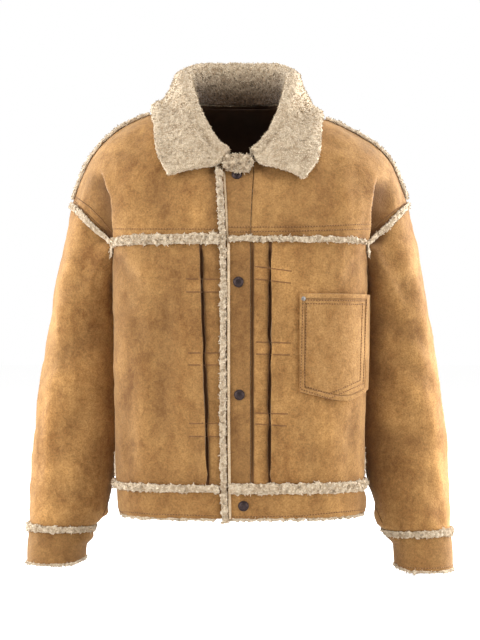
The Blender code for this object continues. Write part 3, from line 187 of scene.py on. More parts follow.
# finishes; scales are in lumps for each metre
napSizes = {
    "patches": 13.0, "streaks": (30.0, 30.0, 10.0), "clouds": 85.0, "pebble": 430.0,
    "shares": (0.38, 0.30, 0.32),  # of patches, streaks and clouds
    "clouded": (0.39, 0.63), "brushed": (0.32, 0.62),  # the ranges that are spread out
    "specks": (0.70, 1.16), "highlightBy": 1.5, "roughness": (0.80, 0.93),
}


def makeNapGroup():
    # clouded colour, short nap and pebble of suede, with the painted shade and painted highlight that each
    # point carries
    group, given, result = newGroup(
        "suede nap",
        [("Light", "Color"), ("Dark", "Color"), ("Painted shade", "Color"), ("Clouds", "Float"), ("Grain", "Float")],
        [("Colour", "Color"), ("Height", "Float"), ("Roughness", "Float")],
    )
    where = put(group, "ShaderNodeTexCoord").outputs["Object"]
    patches = objectNoise(group, where, napSizes["patches"], 4.0, 0.6, 0.7)
    tall = put(group, "ShaderNodeMapping", {"Vector": where, "Scale": napSizes["streaks"]}).outputs[0]
    streaks = objectNoise(group, tall, 1.0, 4.0, 0.6, 0.4)
    cloud = objectNoise(group, where, napSizes["clouds"], 5.0, 0.65, 0.8)
    brushed = objectNoise(group, where, given["Grain"], 3.0, 0.7, 0.3)
    dots = {"Vector": where, "Scale": napSizes["pebble"], "Randomness": 1.0}
    pebble = put(group, "ShaderNodeTexVoronoi", dots).outputs["Distance"]
    blended = sums(group, *zip((patches, streaks, cloud), napSizes["shares"]))
    clouded = spread(group, blended, *napSizes["clouded"])
    share = calc(group, "MULTIPLY", clouded, given["Clouds"])
    colour = mixColour(group, share, given["Light"], given["Dark"])
    nap = sums(group, (brushed, 0.75), (pebble, 0.25))
    speck = spread(group, nap, *napSizes["brushed"], *napSizes["specks"])
    colour = mixColour(group, 1.0, colour, speck, "MULTIPLY")
    # painted highlight, set on each point: up to this much lighter
    paintedHighlight = put(group, "ShaderNodeAttribute", attribute_name="paintedHighlight").outputs["Fac"]
    colour = mixColour(group, 1.0, colour, spread(group, paintedHighlight, 0.0, 1.0, 1.0, napSizes["highlightBy"]), "MULTIPLY")
    # painted shade, set on each point: toward the painted shade colour in creases, at seams and beside folds
    paintedShade = put(group, "ShaderNodeAttribute", attribute_name="paintedShade").outputs["Fac"]
    colour = mixColour(group, paintedShade, colour, given["Painted shade"])
    group.links.new(colour, result["Colour"])
    group.links.new(sums(group, (brushed, 0.9), (pebble, 0.5), (cloud, 1.2)), result["Height"])
    group.links.new(spread(group, clouded, 0.0, 1.0, *napSizes["roughness"]), result["Roughness"])
    return group


curlSizes = {
    "shake": 160.0, "shakenBy": (0.006, 0.006, 0.006), "lumps": 75.0, "fine": 900.0,
    "shares": (0.55, 0.45, 0.30, 0.20),  # of curls, depth, lumps and fine hair
    "lit": (0.24, 0.82), "shaded": (0.14, 0.092, 0.052, 1),
}


def makeCurlGroup():
    # cream wool in small round curls, with painted shade between them and at their roots
    group, given, result = newGroup(
        "wool curl",
        [("Tip", "Color"), ("Root", "Color"), ("Curls", "Float")],
        [("Colour", "Color"), ("Height", "Float")],
    )
    where = put(group, "ShaderNodeTexCoord").outputs["Object"]
    noisy = {"Vector": where, "Scale": curlSizes["shake"], "Detail": 2.0}
    shaken = put(group, "ShaderNodeTexNoise", noisy).outputs["Color"]
    moved = {0: shaken, 1: curlSizes["shakenBy"], 2: where}
    spot = put(group, "ShaderNodeVectorMath", moved, operation="MULTIPLY_ADD").outputs[0]
    cells = {"Vector": spot, "Scale": given["Curls"], "Randomness": 1.0, "Detail": 1.0, "Roughness": 0.5}
    tuft = put(group, "ShaderNodeTexVoronoi", cells).outputs["Distance"]
    curls = spread(group, tuft, 0.30, 0.78, 1.0, 0.0)
    lumps = objectNoise(group, where, curlSizes["lumps"], 3.0, 0.6, 0.5)
    fine = objectNoise(group, where, curlSizes["fine"], 2.0, 0.6, 0.5)
    depth = put(group, "ShaderNodeAttribute", attribute_name="depth").outputs["Fac"]
    lit = sums(group, *zip((curls, depth, lumps, fine), curlSizes["shares"]))
    colour = mixColour(group, spread(group, lit, *curlSizes["lit"]), given["Root"], given["Tip"])
    # painted shade where the shade attribute is set
    shade = put(group, "ShaderNodeAttribute", attribute_name="shade").outputs["Fac"]
    dim = mixColour(group, shade, (1, 1, 1, 1), curlSizes["shaded"])
    group.links.new(mixColour(group, 1.0, colour, dim, "MULTIPLY"), result["Colour"])
    group.links.new(sums(group, (curls, 1.0), (fine, 0.35)), result["Height"])
    return group


def newMaterial(name, **sockets):
    material = bpy.data.materials.new(name)
    material.use_nodes = True
    shader = material.node_tree.nodes["Principled BSDF"]
    for label, value in sockets.items():
        shader.inputs[label.replace("_", " ")].default_value = value
    return material, material.node_tree, shader


def bump(tree, shader, height, strength, distance):
    made = put(tree, "ShaderNodeBump", {"Height": height, "Strength": strength, "Distance": distance})
    tree.links.new(made.outputs[0], shader.inputs["Normal"])


# light and dark are the suede's own clouded colours; the third is its painted shade colour
def suede(name, light, dark, paintedShade, clouds=1.0, grain=330.0):
    material, tree, shader = newMaterial(
        name,
        Specular_IOR_Level=0.22,
        Sheen_Weight=0.28,
        Sheen_Roughness=0.5,
        Sheen_Tint=(1.0, 0.82, 0.6, 1.0),
    )
    values = {"Light": (*light, 1), "Dark": (*dark, 1), "Painted shade": (*paintedShade, 1)}
    values.update({"Clouds": clouds, "Grain": grain})
    nap = put(tree, "ShaderNodeGroup", node_tree=napGroup)
    for label, value in values.items():
        nap.inputs[label].default_value = value
    tree.links.new(nap.outputs["Colour"], shader.inputs["Base Color"])
    tree.links.new(nap.outputs["Roughness"], shader.inputs["Roughness"])
    bump(tree, shader, nap.outputs["Height"], 0.45, 0.0009)
    return material


def wool(name, tip, root, curls):
    material, tree, shader = newMaterial(
        name,
        Roughness=0.95,
        Specular_IOR_Level=0.15,
        Sheen_Weight=0.35,
        Sheen_Roughness=0.6,
        Sheen_Tint=(1.0, 0.95, 0.88, 1.0),
    )
    curl = put(tree, "ShaderNodeGroup", node_tree=curlGroup)
    for label, value in {"Tip": (*tip, 1), "Root": (*root, 1), "Curls": curls}.items():
        curl.inputs[label].default_value = value
    tree.links.new(curl.outputs["Colour"], shader.inputs["Base Color"])
    bump(tree, shader, curl.outputs["Height"], 0.7, 0.0014)
    return material


def metal(name, colour, roughness, paintedLightAndWear):
    # scuffed brighter in small scattered patches
    material, tree, shader = newMaterial(name, Metallic=1.0)
    where = put(tree, "ShaderNodeTexCoord").outputs["Object"]
    scuffs = objectNoise(tree, where, 900.0, 4.0, 0.65)
    share = spread(tree, scuffs, 0.45, 0.75)
    tree.links.new(mixColour(tree, share, (*colour, 1), (*paintedLightAndWear, 1)), shader.inputs["Base Color"])
    tree.links.new(spread(tree, scuffs, 0.3, 0.7, roughness, roughness + 0.2), shader.inputs["Roughness"])
    bump(tree, shader, scuffs, 0.15, 0.0002)
    return material


# nearly black: partly the facing's own dark brown, partly painted shade for the inside of the neck
def facingLeather(name, colour):
    material, tree, shader = newMaterial(name, Specular_IOR_Level=0.35)
    where = put(tree, "ShaderNodeTexCoord").outputs["Object"]
    grain = put(tree, "ShaderNodeTexVoronoi", {"Vector": where, "Scale": 600.0}).outputs["Distance"]
    cloud = objectNoise(tree, where, 40.0, 4.0)
    darker = tuple(0.55 * part for part in colour)
    tree.links.new(mixColour(tree, cloud, (*colour, 1), (*darker, 1)), shader.inputs["Base Color"])
    tree.links.new(spread(tree, cloud, 0.3, 0.7, 0.55, 0.72), shader.inputs["Roughness"])
    bump(tree, shader, grain, 0.3, 0.0004)
    return material


makeCamera()
makeLights()
makeFloor()
napGroup = makeNapGroup()
curlGroup = makeCurlGroup()
finishes = {
    "suede": suede("suede", (0.435, 0.232, 0.075), (0.198, 0.087, 0.023), (0.080, 0.031, 0.009)),
    "pocketSuede": suede(
        "pocket suede", (0.455, 0.250, 0.088), (0.262, 0.124, 0.036), (0.08, 0.031, 0.009)
    ),
    "pile": wool("clipped pile", (0.56, 0.43, 0.30), (0.30, 0.21, 0.13), 300.0),
    "collarWool": wool("collar wool", (0.72, 0.59, 0.42), (0.31, 0.21, 0.12), 330.0),
    "seamWool": wool("seam wool", (0.74, 0.62, 0.455), (0.38, 0.265, 0.16), 230.0),
    "thread": suede("thread", (0.15, 0.065, 0.022), (0.10, 0.042, 0.014), (0.1, 0.05, 0.02), 0.6, 900.0),
    "seamShade": suede(
        "seam shade", (0.23, 0.105, 0.036), (0.14, 0.060, 0.020), (0.05, 0.02, 0.006), 0.9, 700.0
    ),
    "groove": suede(
        "stitched groove", (0.42, 0.225, 0.09), (0.25, 0.12, 0.042), (0.1, 0.04, 0.012), 0.7, 500.0
    ),
    "cutEdge": suede("cut edge", (0.68, 0.53, 0.36), (0.48, 0.34, 0.20), (0.2, 0.1, 0.04), 1.0, 700.0),
    "facing": facingLeather("neck facing", (0.048, 0.016, 0.002)),
    "snap": metal("snap metal", (0.050, 0.036, 0.036), 0.42, (0.11, 0.08, 0.075)),
    "rivet": metal("rivet metal", (0.30, 0.28, 0.26), 0.34, (0.42, 0.40, 0.37)),
}
print("finishes made")


# shape helpers


def step(low, high, value):
    # 0 at low and 1 at high, which may lie either way round
    t = np.clip((value - low) / (high - low), 0.0, 1.0)
    return t * t * (3 - 2 * t)


def pointsOf(mesh):
    points = np.empty(len(mesh.vertices) * 3, np.float32)
    mesh.vertices.foreach_get("co", points)
    return points.reshape(-1, 3).astype(float)


def normalsOf(mesh):
    ways = np.empty(len(mesh.vertices) * 3, np.float32)
    mesh.vertices.foreach_get("normal", ways)
    return ways.reshape(-1, 3).astype(float)


def setPoints(mesh, points):
    mesh.vertices.foreach_set("co", np.asarray(points, np.float32).ravel())
    mesh.update()


def setAttribute(mesh, name, values):
    layer = mesh.attributes.new(name, "FLOAT", "POINT")
    layer.data.foreach_set("value", np.asarray(values, np.float32))


def linked(name, mesh):
    made = bpy.data.objects.new(name, mesh)
    bpy.context.scene.collection.objects.link(made)
    return made


def finish(mesh, *names):
    mesh.materials.clear()
    for name in names:
        mesh.materials.append(finishes[name])
    mesh.shade_smooth()


def declared(piece, slot, *solids):
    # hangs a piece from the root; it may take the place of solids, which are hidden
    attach(piece, "root")
    if solids:
        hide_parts(*solids)
    return piece


def dressed(name, mesh, slot, *solids):
    return declared(linked(name, mesh), slot, *solids)


def converted(holder, name):
    # the object with its modifiers, as a plain mesh; the holder goes
    bpy.context.view_layer.update()
    graph = bpy.context.evaluated_depsgraph_get()
    mesh = bpy.data.meshes.new_from_object(holder.evaluated_get(graph), depsgraph=graph)
    mesh.name = name
    old = holder.data
    bpy.data.objects.remove(holder)
    if isinstance(old, bpy.types.Mesh):
        bpy.data.meshes.remove(old)
    return mesh


# corners nearer than merged, in metres, are one; the rest are angles in degrees
meshing = {"merged": 0.00002, "paired": 28, "skewed": 55, "sharp": 38}


def mergedCopy(names):
    # the solids' faces, with their shared corners merged
    shape = bmesh.new()
    for name in names:
        shape.from_mesh(nodes[name].data)
    bmesh.ops.remove_doubles(shape, verts=shape.verts[:], dist=meshing["merged"])
    return shape


def finerMesh(name, levels, hold):
    # the solid with its triangles paired and its faces divided, and sharp edges held
    shape = mergedCopy([name])
    bmesh.ops.join_triangles(
        shape,
        faces=shape.faces[:],
        angle_face_threshold=math.radians(meshing["paired"]),
        angle_shape_threshold=math.radians(meshing["skewed"]),
    )
    layer = shape.edges.layers.float.new("crease_edge")
    for edge in shape.edges:
        if len(edge.link_faces) == 2 and edge.calc_face_angle() > math.radians(meshing["sharp"]):
            edge[layer] = hold
    mesh = bpy.data.meshes.new(name + "Base")
    shape.to_mesh(mesh)
    shape.free()
    holder = linked(name + "Base", mesh)
    finer = holder.modifiers.new("finer", "SUBSURF")
    finer.levels = finer.render_levels = levels
    return converted(holder, name)


# The jacket hangs a little unevenly. Each amount is in metres, and the pairs and fours after it are the
# places between which it grows and dies away: across for what has a side, and up for the rest.
settled = {
    "collarIn": 0.0085, "collarSide": (0.04, 0.12), "collarFoot": (-0.11, -0.03),
    "leftLower": 0.0050, "leftShoulder": (0.10, 0.15, 0.20, 0.26),
    "rightHigher": 0.0030, "rightShoulder": (0.11, 0.15, 0.19, 0.25), "shoulderUp": (-0.17, -0.08),
    "cornersLower": 0.0060, "cornersSide": (0.068, 0.100), "cornersUp": (0.045, 0.070),
    "armSide": (0.222, 0.240),
    "sleeveHigher": 0.0080, "sleeveUp": (-0.715, -0.630), "cuffHigher": 0.0050, "cuffUp": (-0.80, -0.75),
    "overhang": 0.0100, "overhangSide": (0.262, 0.300), "overhangUp": (-0.748, -0.733, -0.728, -0.696),
    "rightCuffUp": 0.009,
    "rounded": 0.0120, "roundedSide": 0.290, "roundedWidth": 0.035, "roundedUp": (-0.785, -0.750),
    "sag": 0.0090, "sagAt": (0.252, -0.205), "sagSize": (0.042, 0.032), "sagFront": (0.035, -0.02),
    "bandIn": 0.0100, "bandWidth": 0.2, "bandUp": -0.678, "bandHeight": 0.020,
    "bandOut": 0.0060, "bandSide": (0.15, 0.20), "bandOutUp": (-0.668, -0.645),
}


def settle(points):
    s = settled
    x, y, z = points[:, 0], points[:, 1], points[:, 2]
    moved = points.copy()
    # the wearer's left shoulder is lower, and that side of the collar pushed in
    moved[:, 0] -= s["collarIn"] * step(*s["collarSide"], x) * step(*s["collarFoot"], z)
    high = step(*s["shoulderUp"], z)
    grow, full, fade, end = s["leftShoulder"]
    moved[:, 2] -= s["leftLower"] * step(grow, full, x) * (1 - step(fade, end, x)) * high
    grow, full, fade, end = s["rightShoulder"]
    moved[:, 2] += s["rightHigher"] * step(grow, full, -x) * (1 - step(fade, end, -x)) * high
    moved[:, 2] -= s["cornersLower"] * step(*s["cornersSide"], np.abs(x)) * step(*s["cornersUp"], z)
    arm = step(*s["armSide"], np.abs(x))
    side = np.sign(x)
    # the wearer's right cuff sits higher
    rightArm = arm * (x < 0)
    lift = s["sleeveHigher"] * (1 - step(*s["sleeveUp"], z)) + s["cuffHigher"] * (1 - step(*s["cuffUp"], z))
    moved[:, 2] += rightArm * lift
    # both sleeves overhang their cuffs on the inner side, and the cuffs' inner corners are rounded
    low = np.where(x < 0, z + s["rightCuffUp"], z)
    inner = arm * (1 - step(*s["overhangSide"], np.abs(x)))
    grow, full, fade, end = s["overhangUp"]
    moved[:, 0] -= side * s["overhang"] * inner * step(grow, full, low) * (1 - step(fade, end, low))
    corner = np.clip((s["roundedSide"] - np.abs(x)) / s["roundedWidth"], 0, 1) ** 2
    moved[:, 2] += s["rounded"] * arm * corner * (1 - step(*s["roundedUp"], z))
    # the armhole seams sag in front
    across = np.exp(-(((np.abs(x) - s["sagAt"][0]) / s["sagSize"][0]) ** 2))
    up = np.exp(-(((z - s["sagAt"][1]) / s["sagSize"][1]) ** 2))
    moved[:, 2] -= s["sag"] * (across * up) * step(*s["sagFront"], y)
    # the waistband turns in at its foot, and stands out a little on the wearer's left
    body = 1 - arm
    foot = np.clip((s["bandUp"] - z) / s["bandHeight"], 0, 1) ** 2
    moved[:, 0] -= s["bandIn"] * x / s["bandWidth"] * body * foot
    moved[:, 0] += s["bandOut"] * body * step(*s["bandSide"], x) * (1 - step(*s["bandOutUp"], z))
    return moved


def treeOf(meshes):
    # the facets of several meshes, to measure distances from or to lay lines on
    points, faces = [], []
    for mesh in meshes:
        first = len(points)
        points += [vertex.co.copy() for vertex in mesh.vertices]
        faces += [[first + i for i in face.vertices] for face in mesh.polygons]
    return BVHTree.FromPolygons(points, faces)


def distances(points, tree, reach):
    found = np.full(len(points), reach)
    for i, point in enumerate(points):
        near = tree.find_nearest(Vector(point), reach)
        if near[0] is not None:
            found[i] = near[3]
    return found


def wander(points, size, seed, octaves=2):
    # smooth noise from -1 to 1, whose lumps are about size across
    shift = Vector((seed * 7.3, seed * 3.1, seed * 5.7))
    scale = 1.0 / size
    return np.array([noise.fractal(Vector(p) * scale + shift, 0.8, 2.0, octaves) for p in points])


# cloth; the middle of the left sleeve at five heights
sleeveAxis = {
    "z": [-0.80, -0.72, -0.57, -0.43, -0.30],
    "x": [0.311, 0.305, 0.284, 0.268, 0.262],
    "y": [-0.004, 0.002, 0.022, 0.027, 0.020],
}


def awayFromAxis(name, points):
    # roughly the way out of the tube that the piece is part of
    z = points[:, 2]
    if "sleeve" in name or "cuff" in name:
        side = 1.0 if "left" in name else -1.0
        axis = [np.interp(z, sleeveAxis["z"], sleeveAxis[k]) for k in "xy"]
        middle = np.column_stack([axis[0] * side, axis[1], np.minimum(z, -0.30)])
    else:
        middle = np.column_stack([points[:, 0] * 0.35, np.full(len(z), 0.005), np.minimum(z, -0.16)])
    away = points - middle
    return away / np.linalg.norm(away, axis=1, keepdims=True)


# Soft creases as lines in the front or back view: from x, z to x, z, then width, depth and side.
# A depth above 0 is a trough and below 0 a ridge.
creases = [
    # the drag from the armpits, over the chest
    (-0.205, -0.262, -0.150, -0.335, 0.013, 0.0030, -1),
    (-0.196, -0.300, -0.158, -0.420, 0.016, 0.0026, -1),
    (-0.172, -0.270, -0.132, -0.318, 0.012, -0.0018, -1),
    (0.206, -0.258, 0.168, -0.318, 0.012, 0.0028, -1),
    (0.199, -0.302, 0.184, -0.440, 0.014, 0.0024, -1),
    # long soft waves down the fronts
    (-0.120, -0.270, -0.128, -0.560, 0.020, 0.0024, -1),
    (-0.092, -0.330, -0.094, -0.600, 0.015, -0.0020, -1),
    (-0.158, -0.440, -0.150, -0.625, 0.017, -0.0022, -1),
    (-0.186, -0.470, -0.183, -0.620, 0.012, 0.0020, -1),
    (0.110, -0.520, 0.118, -0.630, 0.018, 0.0022, -1),
    (0.148, -0.530, 0.142, -0.628, 0.014, -0.0018, -1),
    (0.185, -0.500, 0.180, -0.625, 0.013, 0.0022, -1),
    (0.084, -0.520, 0.088, -0.625, 0.011, -0.0014, -1),
    # yokes
    (-0.150, -0.120, -0.118, -0.218, 0.018, 0.0026, -1),
    (-0.080, -0.150, -0.070, -0.225, 0.016, -0.0018, -1),
    (0.144, -0.115, 0.120, -0.222, 0.019, 0.0024, -1),
    (0.172, -0.100, 0.176, -0.225, 0.013, -0.0020, -1),
    (0.082, -0.165, 0.076, -0.226, 0.015, 0.0016, -1),
    (0.2500, -0.128, 0.2450, -0.182, 0.0110, 0.0036, -1),
    # sleeves in front
    (-0.262, -0.300, -0.318, -0.335, 0.015, 0.0040, -1),
    (-0.240, -0.395, -0.330, -0.440, 0.017, 0.0046, -1),
    (-0.248, -0.455, -0.318, -0.470, 0.012, -0.0030, -1),
    (-0.232, -0.520, -0.300, -0.548, 0.015, 0.0040, -1),
    (-0.262, -0.600, -0.345, -0.588, 0.016, 0.0036, -1),
    (-0.250, -0.668, -0.318, -0.650, 0.013, 0.0030, -1),
    (-0.300, -0.250, -0.312, -0.400, 0.016, -0.0028, -1),
    (-0.318, -0.480, -0.330, -0.640, 0.014, -0.0026, -1),
    (0.256, -0.290, 0.300, -0.352, 0.014, 0.0036, -1),
    (0.238, -0.372, 0.320, -0.405, 0.016, 0.0046, -1),
    (0.250, -0.430, 0.338, -0.478, 0.014, 0.0040, -1),
    (0.262, -0.455, 0.312, -0.505, 0.011, -0.0026, -1),
    (0.236, -0.552, 0.322, -0.575, 0.017, 0.0044, -1),
    (0.268, -0.640, 0.350, -0.622, 0.015, 0.0036, -1),
    (0.306, -0.240, 0.318, -0.370, 0.017, -0.0030, -1),
    (0.330, -0.500, 0.332, -0.640, 0.013, -0.0026, -1),
    # sleeves behind
    (-0.245, -0.330, -0.330, -0.372, 0.016, 0.0046, 1),
    (-0.240, -0.420, -0.335, -0.432, 0.015, 0.0052, 1),
    (-0.252, -0.540, -0.340, -0.510, 0.016, 0.0044, 1),
    (-0.262, -0.640, -0.345, -0.655, 0.014, 0.0034, 1),
    (0.245, -0.345, 0.325, -0.375, 0.016, 0.0044, 1),
    (0.240, -0.435, 0.335, -0.470, 0.015, 0.0052, 1),
    (0.256, -0.560, 0.342, -0.545, 0.016, 0.0042, 1),
    (0.262, -0.660, 0.345, -0.640, 0.014, 0.0036, 1),
    # the back
    (-0.190, -0.250, -0.090, -0.330, 0.020, 0.0034, 1),
    (0.194, -0.262, 0.084, -0.352, 0.020, 0.0032, 1),
    (-0.200, -0.330, -0.140, -0.480, 0.018, 0.0030, 1),
    (0.202, -0.322, 0.150, -0.500, 0.017, 0.0032, 1),
    (-0.050, -0.180, -0.062, -0.600, 0.026, 0.0032, 1),
    (0.048, -0.260, 0.040, -0.620, 0.024, 0.0030, 1),
    (-0.005, -0.420, 0.004, -0.628, 0.018, -0.0024, 1),
    (-0.120, -0.500, -0.115, -0.628, 0.016, -0.0024, 1),
    (0.118, -0.520, 0.126, -0.628, 0.015, 0.0026, 1),
    (-0.150, -0.120, -0.100, -0.200, 0.022, 0.0030, 1),
    (0.145, -0.110, 0.108, -0.205, 0.021, -0.0026, 1),
]

# Folds that lap over: three corners as x and z in the front view, then which side drops away.
# Depth is the drop beside the edge, reach how far it spreads, and ridge the height of the edge.
laps = [
    {
        "line": ((-0.2290, -0.128), (-0.2150, -0.166), (-0.2100, -0.232)),
        "side": -1, "depth": 0.0120, "reach": 0.020, "ridge": 0.0024,
    },
    {
        "line": ((0.2250, -0.142), (0.2180, -0.180), (0.2160, -0.232)),
        "side": 1, "depth": 0.0115, "reach": 0.018, "ridge": 0.0022,
    },
]
# pairs are the places between which something grows; shadeReach is a multiple of a lap's reach
lapShape = {
    "drop": (-0.0022, 0.0026), "ridge": (-0.002, 0.002), "ridgeWidth": 0.011,
    "top": (0.02, -0.012), "foot": (-0.012, 0.004), "front": (0.030, -0.005),
    "shade": 0.80, "shadeReach": 1.35, "shadeFrom": (-0.002, 0.001),
}
creaseShape = {"fade": 0.55, "shown": (0.0, 0.035)}


def besideLine(flat, start, end):
    # how far along the line and how far from it each point lies, and the way there
    start, line = np.array(start), np.array(end) - np.array(start)
    offset = flat - start
    t = np.clip(offset @ line / (line @ line), 0.0, 1.0)
    return t, np.linalg.norm(offset - t[:, None] * line, axis=1), offset, line


def lapDepth(points):
    depth, shade = np.zeros(len(points)), np.zeros(len(points))
    flat = points[:, [0, 2]]
    for lap in laps:
        nearest = np.full(len(points), np.inf)
        signed = np.zeros(len(points))
        for start, end in zip(lap["line"], lap["line"][1:]):
            _, away, offset, line = besideLine(flat, start, end)
            side = np.sign(line[0] * offset[:, 1] - line[1] * offset[:, 0]) * np.sign(-line[1])
            closer = away < nearest
            nearest[closer] = away[closer]
            signed[closer] = (away * side)[closer]
        beyond = signed * lap["side"]
        spreading = np.exp(-((np.maximum(beyond, 0) / lap["reach"]) ** 2))
        drop = lap["depth"] * spreading * step(*lapShape["drop"], beyond)
        raised = np.exp(-((beyond / lapShape["ridgeWidth"]) ** 2))
        edge = lap["ridge"] * raised * (1 - step(*lapShape["ridge"], beyond))
        top, foot = lap["line"][0][1], lap["line"][-1][1]
        ends = step(*lapShape["top"], flat[:, 1] - top) * step(*lapShape["foot"], flat[:, 1] - foot)
        ends *= step(*lapShape["front"], points[:, 1])
        depth += (drop - edge) * ends
        shaded = np.exp(-((np.maximum(beyond, 0) / (lapShape["shadeReach"] * lap["reach"])) ** 2))
        shade += lapShape["shade"] * shaded * step(*lapShape["shadeFrom"], beyond) * ends
    return depth, np.clip(shade, 0, lapShape["shade"])


def creaseDepth(points):
    depth = np.zeros(len(points))
    for x0, z0, x1, z1, width, deep, side in creases:
        t, away, _, _ = besideLine(points[:, [0, 2]], (x0, z0), (x1, z1))
        ends = 1 - creaseShape["fade"] * np.abs(2 * t - 1) ** 2
        shown = step(*creaseShape["shown"], points[:, 1] * side)
        depth += deep * np.exp(-((away / width) ** 2)) * ends * shown
    return depth


# distances from the centre of the dark pleat lines, at the yoke seam and at the waist seam
pleats = {
    "front_left": {"top": 0.0490, "foot": 0.0485, "side": 1, "tabs": (-0.294, -0.411, -0.527)},
    "front_right": {"top": 0.0640, "foot": 0.0520, "side": -1, "tabs": (-0.312, -0.430, -0.545)},
}
pleatGap = {"narrow": 0.0010, "wide": 0.0026, "hold": 0.014}
pleatEnds = (-0.236, -0.640)
# the stitched tabs that hold the pleats: low x, high x, top and foot
tabBoxes = [
    (-0.0864, -0.036, -0.3002, -0.3214),
    (-0.0831, -0.033, -0.4208, -0.4404),
    (-0.0815, -0.036, -0.5349, -0.5577),
    (0.026, 0.0848, -0.2790, -0.3067),
    (0.0277, 0.0815, -0.4012, -0.4241),
    (0.026, 0.0766, -0.5186, -0.5398),
]
tabEdge = (0.001, 0.003)  # how far its edge is soft, outwards and inwards
channel = {"at": 0.0205, "half": 0.0020, "shade": 0.85, "soft": (0.6, 1.8)}
# how dark the gap and the strip beside it are, and how far the folded edge stands up and wanders
pleatLook = {
    "gapSoft": (0.7, 1.5), "stripShade": 0.50, "strip": (-0.013, -0.002),
    "edgeShade": 0.30, "edge": (0.040, 0.058), "foot": (-0.641, -0.633),
    "rise": 0.0030, "riseAt": 0.006, "riseWidth": 0.012, "sunk": 0.0022, "sunkHalf": 1.02,
    "sway": 0.0013, "swaySize": 0.055, "swayReach": 0.016,
    "fromFoot": (-0.640, -0.620), "fromYoke": (-0.245, -0.275),
}


def foldOf(name, points):
    # signed distance past the fold, away from the centre front, and half of the gap there
    pleat = pleats[name]
    t = (points[:, 2] - pleatEnds[1]) / (pleatEnds[0] - pleatEnds[1])
    fold = pleat["foot"] + (pleat["top"] - pleat["foot"]) * t
    near = [np.exp(-(((points[:, 2] - tab) / pleatGap["hold"]) ** 2)) for tab in pleat["tabs"]]
    held = np.max(near, axis=0)
    half = pleatGap["wide"] + (pleatGap["narrow"] - pleatGap["wide"]) * held
    return points[:, 0] * pleat["side"] - fold, half


def tabRise(points):
    # 1 on the stitched tabs, soft at their edges
    x, z = points[:, 0], points[:, 2]
    outer, inner = tabEdge
    rise = np.zeros(len(points))
    for left, right, top, foot in tabBoxes:
        inside = step(left - outer, left + inner, x) * (1 - step(right - inner, right + outer, x))
        inside = inside * step(foot - outer, foot + inner, z) * (1 - step(top - inner, top + outer, z))
        rise = np.maximum(rise, inside)
    return rise


def pleatShade(name, points):
    # 1 down in the gap of the pleat, fading over the strip beside it
    look = pleatLook
    past, half = foldOf(name, points)
    dark = 1 - step(*look["gapSoft"], np.abs(past) / half)
    dark = np.maximum(dark, look["stripShade"] * step(*look["strip"], past) * (past < 0))
    if name == "front_left":
        away = np.abs(points[:, 0] - channel["at"])
        soft = [channel["half"] * share for share in channel["soft"]]
        dark = np.maximum(dark, channel["shade"] * (1 - step(*soft, away)))
    else:
        dark = np.maximum(dark, look["edgeShade"] * (1 - step(*look["edge"], points[:, 0] * -1)))
    return dark * step(*look["foot"], points[:, 2])


def pleatBulge(name, points):
    # the folded edge stands up between its tabs and wanders a little from side to side
    look = pleatLook
    past, half = foldOf(name, points)
    shownHere = step(*look["fromFoot"], points[:, 2]) * step(*look["fromYoke"], points[:, 2])
    opened = (half - pleatGap["narrow"]) / (pleatGap["wide"] - pleatGap["narrow"])
    rise = look["rise"] * opened * np.exp(-((past - look["riseAt"]) / look["riseWidth"]) ** 2) * (past > 0)
    rise -= look["sunk"] * (np.abs(past) < half * look["sunkHalf"])
    down = np.column_stack([np.zeros(len(points)), np.zeros(len(points)), points[:, 2]])
    sway = wander(down, look["swaySize"], 61 + pleats[name]["side"], 2) * look["sway"]
    sway = sway * np.exp(-((past / look["swayReach"]) ** 2))
    return rise * shownHere, sway * shownHere


clothNodes = [
    "back", "front_left", "front_right", "yoke_left", "yoke_right", "placket_lower", "placket_upper",
    "waistband", "sleeve_left", "sleeve_right", "cuff_left", "cuff_right",
]
# flat is the size of the cut in metres, area its real area, uneven the height of its soft lumps, and the
# last entry how much painted shade darkens the whole panel
panels = {
    "back": {"flat": (0.66, 0.72), "area": 0.42, "uneven": 0.0030},
    "front_left": {"flat": (0.29, 0.41), "area": 0.112, "uneven": 0.0020},
    "front_right": {"flat": (0.32, 0.41), "area": 0.124, "uneven": 0.0022, "panelShade": 0.20},
    "yoke_left": {"flat": (0.33, 0.26), "area": 0.068, "uneven": 0.0018, "levels": 3, "panelShade": 0.11},
    "yoke_right": {"flat": (0.35, 0.26), "area": 0.074, "uneven": 0.0018, "levels": 3},
    "placket_lower": {"flat": (0.037, 0.41), "area": 0.0150, "uneven": 0.0005, "levels": 3, "panelShade": 0.22},
    "placket_upper": {"flat": (0.05, 0.14), "area": 0.0060, "uneven": 0.0004, "levels": 3, "panelShade": 0.20},
    "waistband": {"flat": (1.27, 0.052), "area": 0.064, "uneven": 0.0007, "levels": 3},
    "sleeve_left": {"flat": (0.52, 0.56), "area": 0.222, "uneven": 0.0034},
    "sleeve_right": {"flat": (0.52, 0.56), "area": 0.222, "uneven": 0.0034},
    "cuff_left": {"flat": (0.32, 0.063), "area": 0.0198, "uneven": 0.0008, "levels": 3, "panelShade": 0.27},
    "cuff_right": {"flat": (0.32, 0.063), "area": 0.0198, "uneven": 0.0008, "levels": 3, "panelShade": 0.30},
}
# pairs are the distances from a seam between which something grows or dies away
clothShape = {
    "seamReach": 0.05, "free": (0.003, 0.022), "lapFree": (0.0, 0.008),
    "pucker": 0.0008, "puckerSize": 0.013, "puckerFrom": (0.002, 0.007), "puckerTo": (0.012, 0.03),
    "lumpSize": 0.062, "smallSize": 0.020, "smallShare": 0.35, "tabRise": 0.0009, "hold": 0.8,
}
